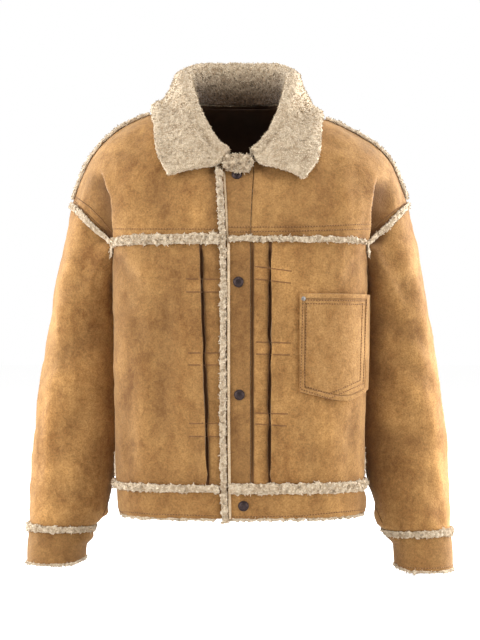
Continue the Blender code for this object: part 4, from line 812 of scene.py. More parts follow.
# painted shade and highlight of the cloth: in troughs, at seams, on high and low lumps, and on single panels
paintedLightAndWear = {
    "trough": 0.016, "troughMost": 0.35, "seam": 0.16, "seamWidth": (0.002, 0.010),
    "high": 0.28, "ridge": 0.010, "ridgeMost": 0.3, "low": 0.12, "tabs": 0.30,
    "leftArmInner": 0.52, "leftArmInnerSide": (0.214, 0.262), "leftArmUp": (-0.70, -0.60),
    "leftArmOuter": 0.55, "leftArmOuterSide": (0.296, 0.345),
    "rightArmOuter": 0.35, "rightArmOuterSide": (0.290, 0.345), "rightArm": 0.15,
    "rightYoke": 0.30, "rightYokeSide": (-0.068, -0.038), "rightBand": 0.12, "rightBandSide": (0.0, 0.05),
}
# faces that look this far inwards are pile; at the back of the neck, the near-black facing as painted shade
insideFaces = {"inward": -0.3, "neckFoot": -0.10, "neckWay": 0.35, "neckHalf": 0.09}


def markPaintedLight(name, mesh, points, deep, tone, dark, tabs):
    # sets the painted shade and painted highlight of the suede; dark is the painted shade
    # that its folds, seams and whole panel give
    x, z = points[:, 0], points[:, 2]
    # painted highlight on high lumps and ridges, painted shade in low lumps
    paintedHighlight = paintedLightAndWear["high"] * np.clip(tone, 0, 1) + np.clip(-deep / paintedLightAndWear["ridge"], 0, paintedLightAndWear["ridgeMost"])
    paintedShade = dark + paintedLightAndWear["low"] * np.clip(-tone, 0, 1)
    # painted highlight on the raised tabs of the pleats
    if name in pleats:
        paintedHighlight += paintedLightAndWear["tabs"] * tabs
    # painted shade on the left sleeve's inner side; painted highlight on the sleeves' outer sides and over the
    # right sleeve
    if name == "sleeve_left":
        inner = 1 - step(*paintedLightAndWear["leftArmInnerSide"], x)
        paintedShade += paintedLightAndWear["leftArmInner"] * inner * step(*paintedLightAndWear["leftArmUp"], z)
        paintedHighlight += paintedLightAndWear["leftArmOuter"] * step(*paintedLightAndWear["leftArmOuterSide"], x)
    if name == "sleeve_right":
        paintedHighlight += paintedLightAndWear["rightArmOuter"] * step(*paintedLightAndWear["rightArmOuterSide"], -x) + paintedLightAndWear["rightArm"]
    # painted shade beside the placket, and on the wearer's right of the waistband
    if name == "yoke_right":
        paintedShade += paintedLightAndWear["rightYoke"] * step(*paintedLightAndWear["rightYokeSide"], x)
    if name == "waistband":
        paintedShade += paintedLightAndWear["rightBand"] * step(*paintedLightAndWear["rightBandSide"], -x)
    if name in pleats:
        paintedShade = np.maximum(paintedShade, pleatShade(name, points))
    setAttribute(mesh, "paintedShade", paintedShade)
    setAttribute(mesh, "paintedHighlight", paintedHighlight)


def insideOf(name, mesh):
    # which finish each face takes: 0 suede, 1 pile, 2 the neck's near-black facing, painted shade
    inside = np.zeros(len(mesh.polygons), np.int32)
    centres = np.array([face.center[:] for face in mesh.polygons])
    ways = np.array([face.normal[:] for face in mesh.polygons])
    inside[np.sum(ways * awayFromAxis(name, centres), axis=1) < insideFaces["inward"]] = 1
    if name == "back":
        high = centres[:, 2] > insideFaces["neckFoot"]
        middle = np.abs(centres[:, 0]) < insideFaces["neckHalf"]
        inside[high & middle & (ways[:, 1] < insideFaces["neckWay"])] = 2
    return inside


def makePanel(name, seed):
    sizes, shape = panels[name], clothShape
    mesh = finerMesh(name, sizes.get("levels", 2), shape["hold"])
    points, ways = pointsOf(mesh), normalsOf(mesh)
    facing = np.sum(ways * awayFromAxis(name, points), axis=1)
    out = ways * np.sign(facing)[:, None]
    seam = distances(points, treeOf([nodes[n].data for n in clothNodes if n != name]), shape["seamReach"])
    free = step(*shape["free"], seam)
    puckered = step(*shape["puckerFrom"], seam) * (1 - step(*shape["puckerTo"], seam))
    pucker = wander(points, shape["puckerSize"], seed + 20, 1) * shape["pucker"] * puckered
    lumps = wander(points, shape["lumpSize"], seed) * sizes["uneven"]
    small = wander(points, shape["smallSize"], seed + 40) * shape["smallShare"] * sizes["uneven"]
    lapped, lapShade = lapDepth(points)
    deep = creaseDepth(points)
    # painted shade in crease troughs, along seams, beside lapped folds and over the whole panel
    dark = np.clip(deep / paintedLightAndWear["trough"], 0.0, paintedLightAndWear["troughMost"]) * free
    dark = dark + paintedLightAndWear["seam"] * (1 - step(*paintedLightAndWear["seamWidth"], seam))
    dark += lapShade + sizes.get("panelShade", 0.0)
    tabs = None
    if name in pleats:
        tabs = tabRise(points)
        rise, sway = pleatBulge(name, points)
        rise += shape["tabRise"] * tabs
    else:
        rise, sway = np.zeros(len(points)), np.zeros(len(points))
    raised = points + ways * (rise * (facing > 0))[:, None] + np.outer(sway, (1, 0, 0))
    sunk = lapped * step(*shape["lapFree"], seam)
    moved = raised + out * (free * (lumps + small - deep) + pucker - sunk)[:, None]
    setPoints(mesh, settle(moved))
    markPaintedLight(name, mesh, points, deep, lumps / sizes["uneven"], dark, tabs)
    inside = insideOf(name, mesh)
    finish(mesh, "suede", "pile", "facing")
    mesh.polygons.foreach_set("material_index", inside)
    return dressed(name + "Cloth", mesh, "suede", name)


cloth = {}
for number, panel in enumerate(panels):
    cloth[panel] = makePanel(panel, number)
    print(panel, len(cloth[panel].data.polygons), "faces")
print("cloth panels made:", sum(len(p.data.polygons) for p in cloth.values()), "faces")

# chest pocket; the border is its turned edge, and the places across it are shares of its width
pocketSizes = {
    "flat": (0.125, 0.185), "area": 0.0222, "levels": 4, "hold": 0.60, "uneven": 0.0007, "lumpSize": 0.028,
    "border": 0.0062, "borderRise": 0.0013, "borderEnd": (0.85, 1.2), "seamAt": 1.25, "seamWidth": 0.18,
    "seamDrop": 0.35, "seamShade": 0.50, "front": (0.2, 0.6), "rim": 0.4,
}


def makePocket():
    sizes = pocketSizes
    mesh = finerMesh("chest_pocket", sizes["levels"], sizes["hold"])
    points, ways = pointsOf(mesh), normalsOf(mesh)
    front = step(*sizes["front"], -ways[:, 1])
    onRim = np.abs(ways[:, 1]) < sizes["rim"]
    rim = KDTree(int(np.sum(onRim)))
    for i, point in enumerate(points[onRim]):
        rim.insert(Vector(point), i)
    rim.balance()
    edge = np.array([rim.find(Vector(point))[2] for point in points])
    width = sizes["border"]
    border = 1 - step(*[width * share for share in sizes["borderEnd"]], edge)
    seam = np.exp(-(((edge - width * sizes["seamAt"]) / (width * sizes["seamWidth"])) ** 2))
    lumps = wander(points, sizes["lumpSize"], 71) * sizes["uneven"]
    rise = lumps + sizes["borderRise"] * (border - sizes["seamDrop"] * seam)
    setPoints(mesh, points + ways * (front * rise)[:, None])
    # painted shade along the seam inside the border
    setAttribute(mesh, "paintedShade", sizes["seamShade"] * front * seam)
    finish(mesh, "pocketSuede")
    return dressed("pocketCloth", mesh, "suede", "chest_pocket")


cloth["chest_pocket"] = makePocket()

facingSizes = {"flat": (0.34, 0.17), "area": 0.054, "uneven": 0.0004, "lumpSize": 0.05}


def makeFacing():
    mesh = finerMesh("neck_facing", 2, clothShape["hold"])
    points, ways = pointsOf(mesh), normalsOf(mesh)
    lumps = wander(points, facingSizes["lumpSize"], 83) * facingSizes["uneven"]
    setPoints(mesh, settle(points + ways * lumps[:, None]))
    finish(mesh, "facing")
    return dressed("neckFacing", mesh, "neck_lining", "neck_facing")


cloth["neck_facing"] = makeFacing()
# wool


def geometryTree(name, inputs):
    tree = bpy.data.node_groups.new(name, "GeometryNodeTree")
    tree.interface.new_socket("Geometry", in_out="INPUT", socket_type="NodeSocketGeometry")
    identifiers = {}
    for label, kind in inputs:
        socket = tree.interface.new_socket(label, in_out="INPUT", socket_type="NodeSocket" + kind)
        identifiers[label] = socket.identifier
    tree.interface.new_socket("Geometry", in_out="OUTPUT", socket_type="NodeSocketGeometry")
    return tree, identifiers, put(tree, "NodeGroupInput").outputs, put(tree, "NodeGroupOutput").inputs


# a lock's own shape, the painted shade from its root to its tip, and the ranges of its turn in
# radians and of its size
lock = {"rows": 4, "taper": 0.8, "depth": (0.25, 1.0), "turn": 3.2, "smallest": 0.55, "largest": 1.25}


def makeLockTree():
    # short bent locks of wool all over a surface, densest where it is bare
    inputs = [
        ("Density", "Float"), ("Length", "Float"), ("Width", "Float"), ("Tilt", "Float"), ("Bend", "Float"),
        ("Seed", "Int"), ("Material", "Material"), ("Keep base", "Bool"),
    ]
    tree, identifiers, given, result = geometryTree("wool locks", inputs)
    bare = put(tree, "GeometryNodeInputNamedAttribute", {"Name": "bare"}, data_type="FLOAT")
    density = calc(tree, "MULTIPLY", bare.outputs["Attribute"], given["Density"])
    scatter = put(
        tree,
        "GeometryNodeDistributePointsOnFaces",
        {"Mesh": given["Geometry"], "Density": density, "Seed": given["Seed"]},
        distribute_method="RANDOM",
    )
    rows = {"Size X": 1.0, "Size Y": 1.0, "Vertices X": 2, "Vertices Y": lock["rows"]}
    blade = put(tree, "GeometryNodeMeshGrid", rows)
    place = put(tree, "GeometryNodeInputPosition").outputs[0]
    parts = put(tree, "ShaderNodeSeparateXYZ", {0: place}).outputs
    along = calc(tree, "ADD", parts["Y"], 0.5)
    squared = calc(tree, "MULTIPLY", along, along)
    narrow = calc(tree, "MULTIPLY_ADD", squared, -lock["taper"], 1.0)
    across = calc(tree, "MULTIPLY", parts["X"], narrow)
    wide = calc(tree, "MULTIPLY", across, given["Width"])
    lean = calc(tree, "MULTIPLY", squared, given["Bend"])
    tall = calc(tree, "MULTIPLY", along, given["Length"])
    stood = put(tree, "ShaderNodeCombineXYZ", {0: wide, 1: lean, 2: tall}).outputs[0]
    stand = {"Geometry": blade.outputs["Mesh"], "Position": stood}
    shaped = put(tree, "GeometryNodeSetPosition", stand).outputs[0]
    # painted shade, darkest at the lock's root
    shaded = put(
        tree,
        "GeometryNodeStoreNamedAttribute",
        {"Geometry": shaped, "Name": "depth", "Value": spread(tree, along, 0.0, 1.0, *lock["depth"])},
        data_type="FLOAT",
        domain="POINT",
    ).outputs[0]
    lowest = calc(tree, "MULTIPLY", given["Tilt"], -1.0)
    low = put(tree, "ShaderNodeCombineXYZ", {0: lowest, 1: lowest, 2: -lock["turn"]}).outputs[0]
    high = put(tree, "ShaderNodeCombineXYZ", {0: given["Tilt"], 1: given["Tilt"], 2: lock["turn"]}).outputs[0]
    turns = {0: low, 1: high, "Seed": given["Seed"]}
    turn = put(tree, "FunctionNodeRandomValue", turns, data_type="FLOAT_VECTOR").outputs[0]
    turned = put(
        tree,
        "FunctionNodeRotateRotation",
        {"Rotation": scatter.outputs["Rotation"], "Rotate By": turn},
        rotation_space="LOCAL",
    ).outputs[0]
    sizes = {2: lock["smallest"], 3: lock["largest"], "Seed": given["Seed"]}
    size = put(tree, "FunctionNodeRandomValue", sizes, data_type="FLOAT").outputs[1]
    locks = put(
        tree,
        "GeometryNodeInstanceOnPoints",
        {"Points": scatter.outputs["Points"], "Instance": shaded, "Rotation": turned, "Scale": size},
    ).outputs[0]
    real = put(tree, "GeometryNodeRealizeInstances", {"Geometry": locks}).outputs[0]
    joined = put(tree, "GeometryNodeJoinGeometry")
    kept = {"Switch": given["Keep base"], "True": given["Geometry"]}
    base = put(tree, "GeometryNodeSwitch", kept).outputs[0]
    tree.links.new(base, joined.inputs[0])
    tree.links.new(real, joined.inputs[0])
    smooth = put(tree, "GeometryNodeSetShadeSmooth", {"Geometry": joined.outputs[0]}).outputs[0]
    coated = {"Geometry": smooth, "Material": given["Material"]}
    tree.links.new(put(tree, "GeometryNodeSetMaterial", coated).outputs[0], result[0])
    return tree, identifiers


lockTree, lockInputs = makeLockTree()
clothTree = treeOf([nodes[name].data for name in clothNodes + ["chest_pocket"]])

# places between which a change to the solid's shape grows
woolShape = {
    "tuckShare": 0.6, "tuckUp": (-0.602, -0.585),
    "reachSide": (-0.100, -0.042), "reachTo": -0.031,
    "lift": 0.0003, "covered": 0.009, "coveredRise": 0.3,
    "roll": 0.7, "rollWay": (0.35, 0.90),
    # the stand's three pairs place the painted shade on the collar stand's inner side
    "standDepth": (-0.02, 0.02), "standWay": (-0.2, 0.5), "standUp": (0.012, 0.078),
}


def shifted(points, way):
    return points + way


def tucked(points, amount):
    # held in at the side seams, but for the lowest few centimetres
    share = woolShape["tuckShare"]
    inward = np.sign(points[:, 0]) * (share + (1 - share) * step(*woolShape["tuckUp"], points[:, 2]))
    return points - np.outer(inward, (amount, 0, 0))


def reached(points, amount):
    # its end nearest the placket comes up to it
    x, y = points[:, 0], points[:, 1]
    near = step(*woolShape["reachSide"], x) * (x < woolShape["reachTo"]) * (y < 0)
    return points + np.outer(near, (amount, 0, 0))


def narrowed(points, line):
    # narrower, swaying a little as it goes down, and longer at both ends
    sway = np.interp(-points[:, 2], line["down"], line["sway"])
    points[:, 0] = line["x"] + (points[:, 0] - line["x"]) * line["narrow"] + sway
    up, down = step(*line["top"], points[:, 2]), step(*line["foot"], points[:, 2])
    points[:, 2] += line["topHigher"] * up - line["footLower"] * down
    return points


def stretched(points, factors):
    middle = points.mean(0)
    return middle + (points - middle) * factors


reshapings = {"shift": shifted, "tuck": tucked, "reach": reached, "line": narrowed, "stretch": stretched}


def swollen(name, names, sizes):
    # the solids' own shape, changed a little, swollen and made of even small faces
    shape = mergedCopy(names)
    mesh = bpy.data.meshes.new(name + "Base")
    shape.to_mesh(mesh)
    shape.free()
    for key, reshape in reshapings.items():
        if key in sizes:
            setPoints(mesh, reshape(pointsOf(mesh), sizes[key]))
    holder = linked(name + "Base", mesh)
    if "swell" in sizes:
        puff = holder.modifiers.new("puff", "DISPLACE")
        puff.mid_level = 0.0
        puff.strength = sizes["swell"]
    fine = holder.modifiers.new("fine", "REMESH")
    fine.mode = "VOXEL"
    fine.voxel_size = sizes["voxel"]
    return converted(holder, name)


def bareOf(points, ways):
    # 1 where the wool is free, and 0 where cloth lies on it
    bare = np.ones(len(points))
    for i, point in enumerate(points):
        start = Vector(point) + Vector(ways[i]) * woolShape["lift"]
        if clothTree.ray_cast(start, Vector(ways[i]), woolShape["covered"])[0] is not None:
            bare[i] = 0.0
    return bare


def makeWool(name, names, sizes, seed):
    mesh = swollen(name, names, sizes)
    points, ways = pointsOf(mesh), normalsOf(mesh)
    clump = wander(points, sizes["clump"], seed, 2)
    curl = wander(points, sizes["curl"], seed + 5, 1)
    rise = clump * sizes["clumpRise"] + curl * sizes["curlRise"]
    bare = bareOf(points, ways)
    covered = woolShape["coveredRise"]
    setPoints(mesh, settle(points + ways * (rise * (covered + (1 - covered) * bare))[:, None]))
    apart = sizes.get("apart", False)
    # painted shade in the hollows between clumps and curls
    depth = np.clip(0.5 + rise / (sizes["clumpRise"] + sizes["curlRise"]) * 0.5, 0, 1)
    if apart:
        # paler where it rolls over at the edges
        depth += woolShape["roll"] * step(*woolShape["rollWay"], 1 - np.abs(ways[:, 1]))
    setAttribute(mesh, "depth", depth)
    setAttribute(mesh, "bare", bare)
    if "collar" in names:
        # painted shade on the stand's inner side, greyer towards the neck seam
        within = step(*woolShape["standDepth"], points[:, 1]) * step(*woolShape["standWay"], -ways[:, 1])
        setAttribute(mesh, "shade", within * (1 - step(*woolShape["standUp"], points[:, 2])))
    finish(mesh, sizes["finish"])
    if apart:
        base = linked(name, mesh.copy())
    holder = linked(name + "Locks", mesh)
    locks = holder.modifiers.new("locks", "NODES")
    locks.node_group = lockTree
    values = {"Density": "density", "Length": "length", "Width": "width", "Tilt": "tilt", "Bend": "bend"}
    for label, key in values.items():
        locks[lockInputs[label]] = sizes[key]
    locks[lockInputs["Seed"]] = seed
    locks[lockInputs["Keep base"]] = not apart
    locks[lockInputs["Material"]] = finishes[sizes["finish"]]
    mesh = converted(holder, name + "Locks")
    if not apart:
        return declared(linked(name, mesh), sizes["slot"], *names)
    declared(linked(name + "Locks", mesh), sizes["slot"])
    return declared(base, sizes["slot"], *names)


collarSizes = {
    "flat": (0.66, 0.19), "area": 0.112, "voxel": 0.0023, "apart": True,
    "clump": 0.011, "clumpRise": 0.0012, "curl": 0.0042, "curlRise": 0.0013,
    "density": 90000, "length": 0.0024, "width": 0.0019, "tilt": 1.3, "bend": 0.0014,
    "finish": "collarWool", "slot": "collar_wool",
}
trimSizes = {
    "voxel": 0.0014, "clump": 0.0068, "clumpRise": 0.0027, "curl": 0.0034, "curlRise": 0.0013,
    "density": 105000, "length": 0.0031, "width": 0.0021, "tilt": 1.35, "bend": 0.0018,
    "finish": "seamWool", "slot": "seam_wool",
}
hemSizes = dict(trimSizes, swell=-0.0010, shift=(0, 0, 0.0030), density=90000, length=0.0028)
throatSizes = dict(
    trimSizes, voxel=0.0013, clump=0.0085, clumpRise=0.0036, density=170000, length=0.0046, swell=0.0018,
    stretch=(1.46, 1.0, 1.06), shift=(-0.0015, 0.0, -0.0050), slot="collar_wool",
)
placketLine = {
    "x": -0.0285, "narrow": 0.68, "down": (0.131, 0.209, 0.289, 0.536, 0.615, 0.675, 0.698),
    "sway": (-0.0026, -0.0010, 0.0016, 0.0003, 0.0011, 0.0029, 0.0043),
    "topHigher": 0.010, "top": (-0.19, -0.135), "footLower": 0.0065, "foot": (-0.640, -0.690),
}
placketSizes = dict(trimSizes, swell=-0.0006, line=placketLine)
thinSizes = dict(trimSizes, swell=-0.0012, clump=0.0070, clumpRise=0.0032)
cordSizes = dict(trimSizes, swell=-0.0012, clumpRise=0.0014, curlRise=0.0008, length=0.0022, tilt=1.45)
shoulderSizes = dict(cordSizes, swell=0.0014)
cuffSizes = dict(trimSizes, swell=-0.0013, length=0.0026, shift=(0, 0, 0.0016))
sideSizes = dict(cordSizes, tuck=0.0050)
wideSizes = dict(trimSizes, clump=0.0085, clumpRise=0.0034, reach=0.0042)
waistSizes = dict(trimSizes, clump=0.0085, clumpRise=0.0028, swell=-0.0004, reach=0.0042)
woolPieces = {
    "collarWool": ("collar", collarSizes),
    "yokeWoolLeft": ("yoke_trim_left", thinSizes),
    "yokeWoolRight": ("yoke_trim_right", wideSizes),
    "armholeWoolLeft": ("armhole_trim_left", cordSizes),
    "armholeWoolRight": ("armhole_trim_right", cordSizes),
    "shoulderWoolLeft": ("shoulder_trim_left", shoulderSizes),
    "shoulderWoolRight": ("shoulder_trim_right", shoulderSizes),
    "sideWoolLeft": ("side_trim_left", sideSizes),
    "sideWoolRight": ("side_trim_right", sideSizes),
    "placketWool": ("placket_trim", placketSizes),
    "waistWool": ("waist_trim", waistSizes),
    "hemWool": ("hem_trim", hemSizes),
    "cuffWoolLeft": ("cuff_trim_left", cuffSizes),
    "cuffWoolRight": ("cuff_trim_right", cuffSizes),
    "cuffHemWoolLeft": ("cuff_hem_trim_left", hemSizes),
    "cuffHemWoolRight": ("cuff_hem_trim_right", hemSizes),
    "throatWool": ("throat_wool", throatSizes),
}
for number, (name, (node, sizes)) in enumerate(woolPieces.items()):
    makeWool(name, [node], sizes, 100 + number)


# stitching
stitching = {"pitch": 0.0046, "length": 0.0025, "thread": 0.00072, "groove": 0.00055, "finish": "groove"}
seaming = {"pitch": 0.0040, "length": 0.0028, "thread": 0.00085, "groove": 0.00095, "finish": "seamShade"}


def makeStitchTree():
    # stitches sunk in a groove along the curves that it is given, over a thin tube of painted shade
    inputs = [
        ("Pitch", "Float"), ("Stitch", "Float"), ("Thread", "Float"), ("Groove", "Float"),
        ("Thread material", "Material"), ("Groove material", "Material"),
    ]
    tree, identifiers, given, result = geometryTree("stitches", inputs)
    even = {"Curve": given["Geometry"], "Length": given["Pitch"]}
    spaced = put(tree, "GeometryNodeResampleCurve", even, mode="LENGTH").outputs[0]
    stitch = put(
        tree,
        "GeometryNodeMeshCylinder",
        {"Vertices": 5, "Side Segments": 1, "Radius": given["Thread"], "Depth": given["Stitch"]},
        fill_type="TRIANGLE_FAN",
    ).outputs["Mesh"]
    tangent = put(tree, "GeometryNodeInputTangent").outputs[0]
    aligned = put(tree, "FunctionNodeAlignRotationToVector", {"Vector": tangent}, axis="Z").outputs[0]
    along = {"Points": spaced, "Instance": stitch, "Rotation": aligned}
    laid = put(tree, "GeometryNodeInstanceOnPoints", along).outputs[0]
    real = put(tree, "GeometryNodeRealizeInstances", {"Geometry": laid}).outputs[0]
    sewn = {"Geometry": real, "Material": given["Thread material"]}
    threads = put(tree, "GeometryNodeSetMaterial", sewn).outputs[0]
    circle = {"Resolution": 5, "Radius": given["Groove"]}
    ring = put(tree, "GeometryNodeCurvePrimitiveCircle", circle).outputs[0]
    tube = {"Curve": given["Geometry"], "Profile Curve": ring, "Fill Caps": True}
    swept = put(tree, "GeometryNodeCurveToMesh", tube).outputs[0]
    sunk = {"Geometry": swept, "Material": given["Groove material"]}
    paintedShade = put(tree, "GeometryNodeSetMaterial", sunk).outputs[0]
    joined = put(tree, "GeometryNodeJoinGeometry")
    tree.links.new(threads, joined.inputs[0])
    tree.links.new(paintedShade, joined.inputs[0])
    tree.links.new(joined.outputs[0], result[0])
    return tree, identifiers


shown = treeOf([piece.data for name, piece in cloth.items() if name != "neck_facing"])
eye = Vector((0, -view["distance"], view["height"]))
metresPerPixel = 2 * view["halfHeight"] / view["pixels"]
# a line's steps in pixels or metres, its height over the cloth, and its steps round a tube in degrees
laying = {"pixels": 2.2, "metres": 0.004, "lift": 0.00015, "degrees": 1.5, "outside": 0.45, "behind": 1.0}


def seenPoint(x, y):
    # the place on the cloth behind a pixel of the photograph, and the way out of it
    right, up = x - view["across"] / 2, view["pixels"] / 2 - y
    way = Vector((right * metresPerPixel, view["distance"], up * metresPerPixel))
    place, out, _, _ = shown.ray_cast(eye, way.normalized())
    return place, out


def behindPoint(x, z):
    # the place on the back at x and z
    place, out, _, _ = shown.ray_cast(Vector((x, laying["behind"], z)), Vector((0, -1, 0)))
    return place, out


def aroundPoint(tube, middle, z, degrees):
    # the outer side of a tube at height z
    turn = math.radians(degrees)
    way = Vector((math.cos(turn), math.sin(turn), 0))
    place, out, _, _ = tube.ray_cast(Vector((middle[0], middle[1], z)) + way * laying["outside"], -way)
    return place, out


def laidLine(corners, find, pace):
    # a line through corners, laid on the cloth at even steps
    places = []
    for (ax, ay), (bx, by) in zip(corners, corners[1:]):
        count = max(2, int(math.hypot(bx - ax, by - ay) / pace))
        for k in range(count):
            t = k / count
            places.append(find(ax + (bx - ax) * t, ay + (by - ay) * t))
    places.append(find(*corners[-1]))
    return [place + out * laying["lift"] for place, out in places if place is not None]


# stitched lines on the front, by pixels of the photograph
seenLines = {
    "yokeRight": [(113, 229), (165, 229), (216, 229)],
    "yokeLeftUpper": [(229, 227), (300, 227), (372, 224)],
    "yokeLeftLower": [(229, 232), (300, 231), (370, 229)],
    "pocketOuter": [(303, 299), (300.5, 389), (329, 398.5), (363, 384), (366.5, 300)],
    "pocketInner": [(306.5, 304), (304.5, 386), (329.5, 394), (360, 380.5), (362.5, 304)],
    "pocketTop": [(303, 303.5), (366.5, 304.5)],
    "pocketTopUpper": [(303, 300), (366.5, 301)],
    "bandRight": [(116, 511), (150, 514), (216, 516)],
    "bandLeft": [(234, 517), (300, 516), (372, 509)],
}
# seams that show as dark lines, drawn as tubes of painted shade
darkLines = {
    "armholeRightInner": [(76, 197), (90.3, 207.6), (100, 217.3), (112, 231.8)],
    "armholeRightOuter": [(73.5, 200), (84.2, 211), (97, 223), (108.5, 235.5)],
    "armholeLeftInner": [(405, 203.5), (394, 211), (383, 220), (375, 228)],
    "armholeLeftOuter": [(408.5, 205.5), (397, 213), (386, 222), (376, 233)],
    "tabRightUpperA": [(187, 279), (218, 279.5)],
    "tabRightLowerA": [(187, 292), (218, 292)],
    "tabRightUpperB": [(189, 353), (219, 353)],
    "tabRightLowerB": [(189, 365), (219, 365)],
    "tabRightUpperC": [(190, 423.5), (219, 423.5)],
    "tabRightLowerC": [(190, 436.5), (219, 436.5)],
    "tabLeftUpperA": [(256, 266.5), (291, 271)],
    "tabLeftLowerA": [(256, 279), (290, 283)],
    "tabLeftUpperB": [(257, 342), (290, 343)],
    "tabLeftLowerB": [(257, 354), (289, 355)],
    "tabLeftUpperC": [(256, 413), (287, 414)],
    "tabLeftLowerC": [(256, 424), (286, 426)],
    "inseamRight": [(111, 493), (107, 505), (101.5, 520)],
    "inseamLeft": [(371, 497), (377, 510), (382, 522)],
}
backLines = {
    "backArmholeRight": [(-0.262, -0.115), (-0.232, -0.175), (-0.196, -0.262)],
    "backArmholeLeft": [(0.262, -0.115), (0.232, -0.175), (0.196, -0.262)],
    "backArmholeRight2": [(-0.256, -0.114), (-0.226, -0.173), (-0.190, -0.262)],
    "backArmholeLeft2": [(0.256, -0.114), (0.226, -0.173), (0.190, -0.262)],
}
tubeLines = {
    "hem": {"on": "waistband", "middle": (0, 0), "z": -0.6865, "from": -20, "to": 200},
    "backWaist": {"on": "back", "middle": (0, 0), "z": -0.6300, "from": 4, "to": 176},
    "cuffFootLeft": {"on": "cuff_left", "middle": (0.311, -0.004), "z": -0.7820, "from": 0, "to": 360},
    "cuffFootRight": {"on": "cuff_right", "middle": (-0.311, -0.004), "z": -0.7820, "from": 0, "to": 360},
}


def tubeLine(line):
    turns = np.arange(line["from"], line["to"] + 1, laying["degrees"])
    tube = treeOf([cloth[line["on"]].data])
    found = [aroundPoint(tube, line["middle"], line["z"], turn) for turn in turns]
    return [place + out * laying["lift"] for place, out in found if place is not None]


def makeStitching(name, lines, sizes):
    curve = bpy.data.curves.new(name + "Lines", "CURVE")
    curve.dimensions = "3D"
    for line in lines:
        if len(line) < 2:
            continue
        spline = curve.splines.new("POLY")
        spline.points.add(len(line) - 1)
        spline.points.foreach_set("co", [part for place in line for part in (*place, 1.0)])
    holder = linked(name + "Lines", curve)
    laid = holder.modifiers.new("stitches", "NODES")
    laid.node_group = stitchTree
    values = {"Pitch": "pitch", "Stitch": "length", "Thread": "thread", "Groove": "groove"}
    for label, key in values.items():
        laid[stitchInputs[label]] = sizes[key]
    laid[stitchInputs["Thread material"]] = finishes["thread"]
    laid[stitchInputs["Groove material"]] = finishes[sizes["finish"]]
    piece = dressed(name, converted(holder, name), "suede_dark")
    print(name, len(piece.data.polygons), "faces")


stitchTree, stitchInputs = makeStitchTree()
stitched = [laidLine(corners, seenPoint, laying["pixels"]) for corners in seenLines.values()]
stitched += [laidLine(corners, behindPoint, laying["metres"]) for corners in backLines.values()]
stitched += [tubeLine(line) for line in tubeLines.values()]
makeStitching("stitching", stitched, stitching)
seams = [laidLine(corners, seenPoint, laying["pixels"]) for corners in darkLines.values()]
makeStitching("seamLines", seams, seaming)

# cut edge of the placket; its line is in pixels of the photograph, and pace its step in them
edgeStrip = {
    "width": 0.0042, "height": 0.0030, "shoulder": 0.7, "flat": 0.6, "pace": 2.5,
    "line": [
        (224.6, 172), (226.9, 230), (228.6, 246), (228.7, 272), (228.8, 424), (229.3, 472), (229.9, 509),
        (230.0, 520),
    ],
}


def makeEdgeStrip():
    places = []
    for (ax, ay), (bx, by) in zip(edgeStrip["line"], edgeStrip["line"][1:]):
        for t in np.arange(0, 1, edgeStrip["pace"] / (by - ay)):
            place, _ = seenPoint(ax + (bx - ax) * t, ay + (by - ay) * t)
            if place is not None:
                places.append(place)
    wide, tall = edgeStrip["width"] / 2, edgeStrip["height"]
    shoulder, flat = tall * edgeStrip["shoulder"], wide * edgeStrip["flat"]
    ring = [(-wide, 0), (-wide, shoulder), (-flat, tall), (flat, tall), (wide, shoulder), (wide, 0)]
    shape = bmesh.new()
    made = []
    for place in places:
        made.append([shape.verts.new(place + Vector((x, 0, 0)) - Vector((0, h, 0))) for x, h in ring])
    for low, high in zip(made, made[1:]):
        for k in range(len(ring)):
            after = (k + 1) % len(ring)
            shape.faces.new((low[k], high[k], high[after], low[after]))
    shape.faces.new(made[0])
    shape.faces.new(made[-1][::-1])
    bmesh.ops.recalc_face_normals(shape, faces=shape.faces[:])
    mesh = bpy.data.meshes.new("placketEdge")
    shape.to_mesh(mesh)
    shape.free()
    finish(mesh, "cutEdge")
    dressed("placketEdge", mesh, "suede")


makeEdgeStrip()

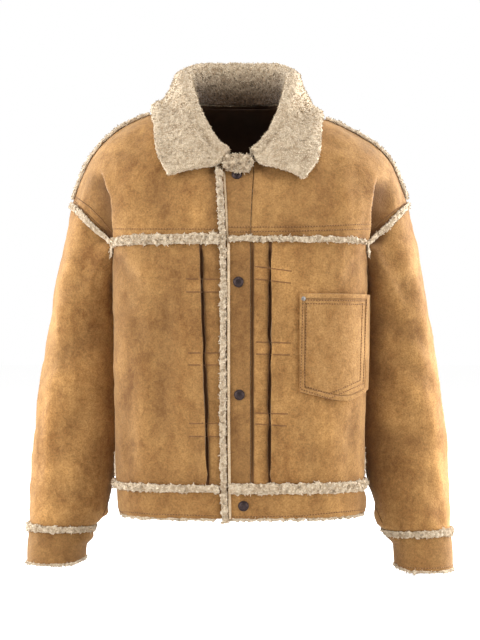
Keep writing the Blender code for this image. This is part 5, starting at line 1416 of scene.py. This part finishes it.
# metal; profiles are radius and height, as shares of the cap's own
snapCap = {
    "profile": [
        (1.0, 0.0), (1.0, 0.22), (0.97, 0.36), (0.90, 0.44), (0.84, 0.40), (0.80, 0.42), (0.74, 0.62),
        (0.60, 0.82), (0.40, 0.93), (0.20, 0.985), (0.0, 1.0),
    ],
    "around": 40, "finish": "snap", "slot": "snap_metal",
}
rivetCap = {
    "profile": [
        (1.0, 0.0), (1.0, 0.30), (0.93, 0.48), (0.78, 0.60), (0.66, 0.56), (0.58, 0.70), (0.36, 0.94),
        (0.0, 1.0),
    ],
    "around": 28, "finish": "rivet", "slot": "rivet_metal",
}


def makeCap(node, name, cap):
    # a turned cap of the solid's own radius, height and axis
    points = pointsOf(nodes[node].data)
    middle = points.mean(0)
    _, _, ways = np.linalg.svd(points - middle)
    out = ways[2] if ways[2][1] < 0 else -ways[2]
    heights = (points - middle) @ out
    foot = middle + out * heights.min()
    radius = np.linalg.norm(points - middle - heights[:, None] * out, axis=1).max()
    height = heights.max() - heights.min()
    shape = bmesh.new()
    rings = []
    for r, h in cap["profile"]:
        if r == 0:
            rings.append([shape.verts.new((0, 0, h * height))])
            continue
        turns = np.linspace(0, 2 * math.pi, cap["around"], endpoint=False)
        around = [(r * radius * math.cos(t), r * radius * math.sin(t), h * height) for t in turns]
        rings.append([shape.verts.new(place) for place in around])
    for low, high in zip(rings, rings[1:]):
        for k in range(cap["around"]):
            after = (k + 1) % cap["around"]
            if len(high) == 1:
                shape.faces.new((low[k], low[after], high[0]))
            else:
                shape.faces.new((low[k], low[after], high[after], high[k]))
    shape.faces.new(rings[0][::-1])
    mesh = bpy.data.meshes.new(name)
    shape.to_mesh(mesh)
    shape.free()
    turn = Vector(out).to_track_quat("Z", "Y").to_matrix().to_4x4()
    mesh.transform(Matrix.Translation(Vector(foot)) @ turn)
    finish(mesh, cap["finish"])
    dressed(name, mesh, cap["slot"], node)


for spot in ("neck", "chest", "middle", "waist"):
    makeCap("snap_" + spot, "snap" + spot.capitalize(), snapCap)
makeCap("pocket_rivet", "pocketRivet", rivetCap)
print("metal made")

sizes = {"cad": [list(corner) for corner in cadCorners], "visual": [list(corner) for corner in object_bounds()]}
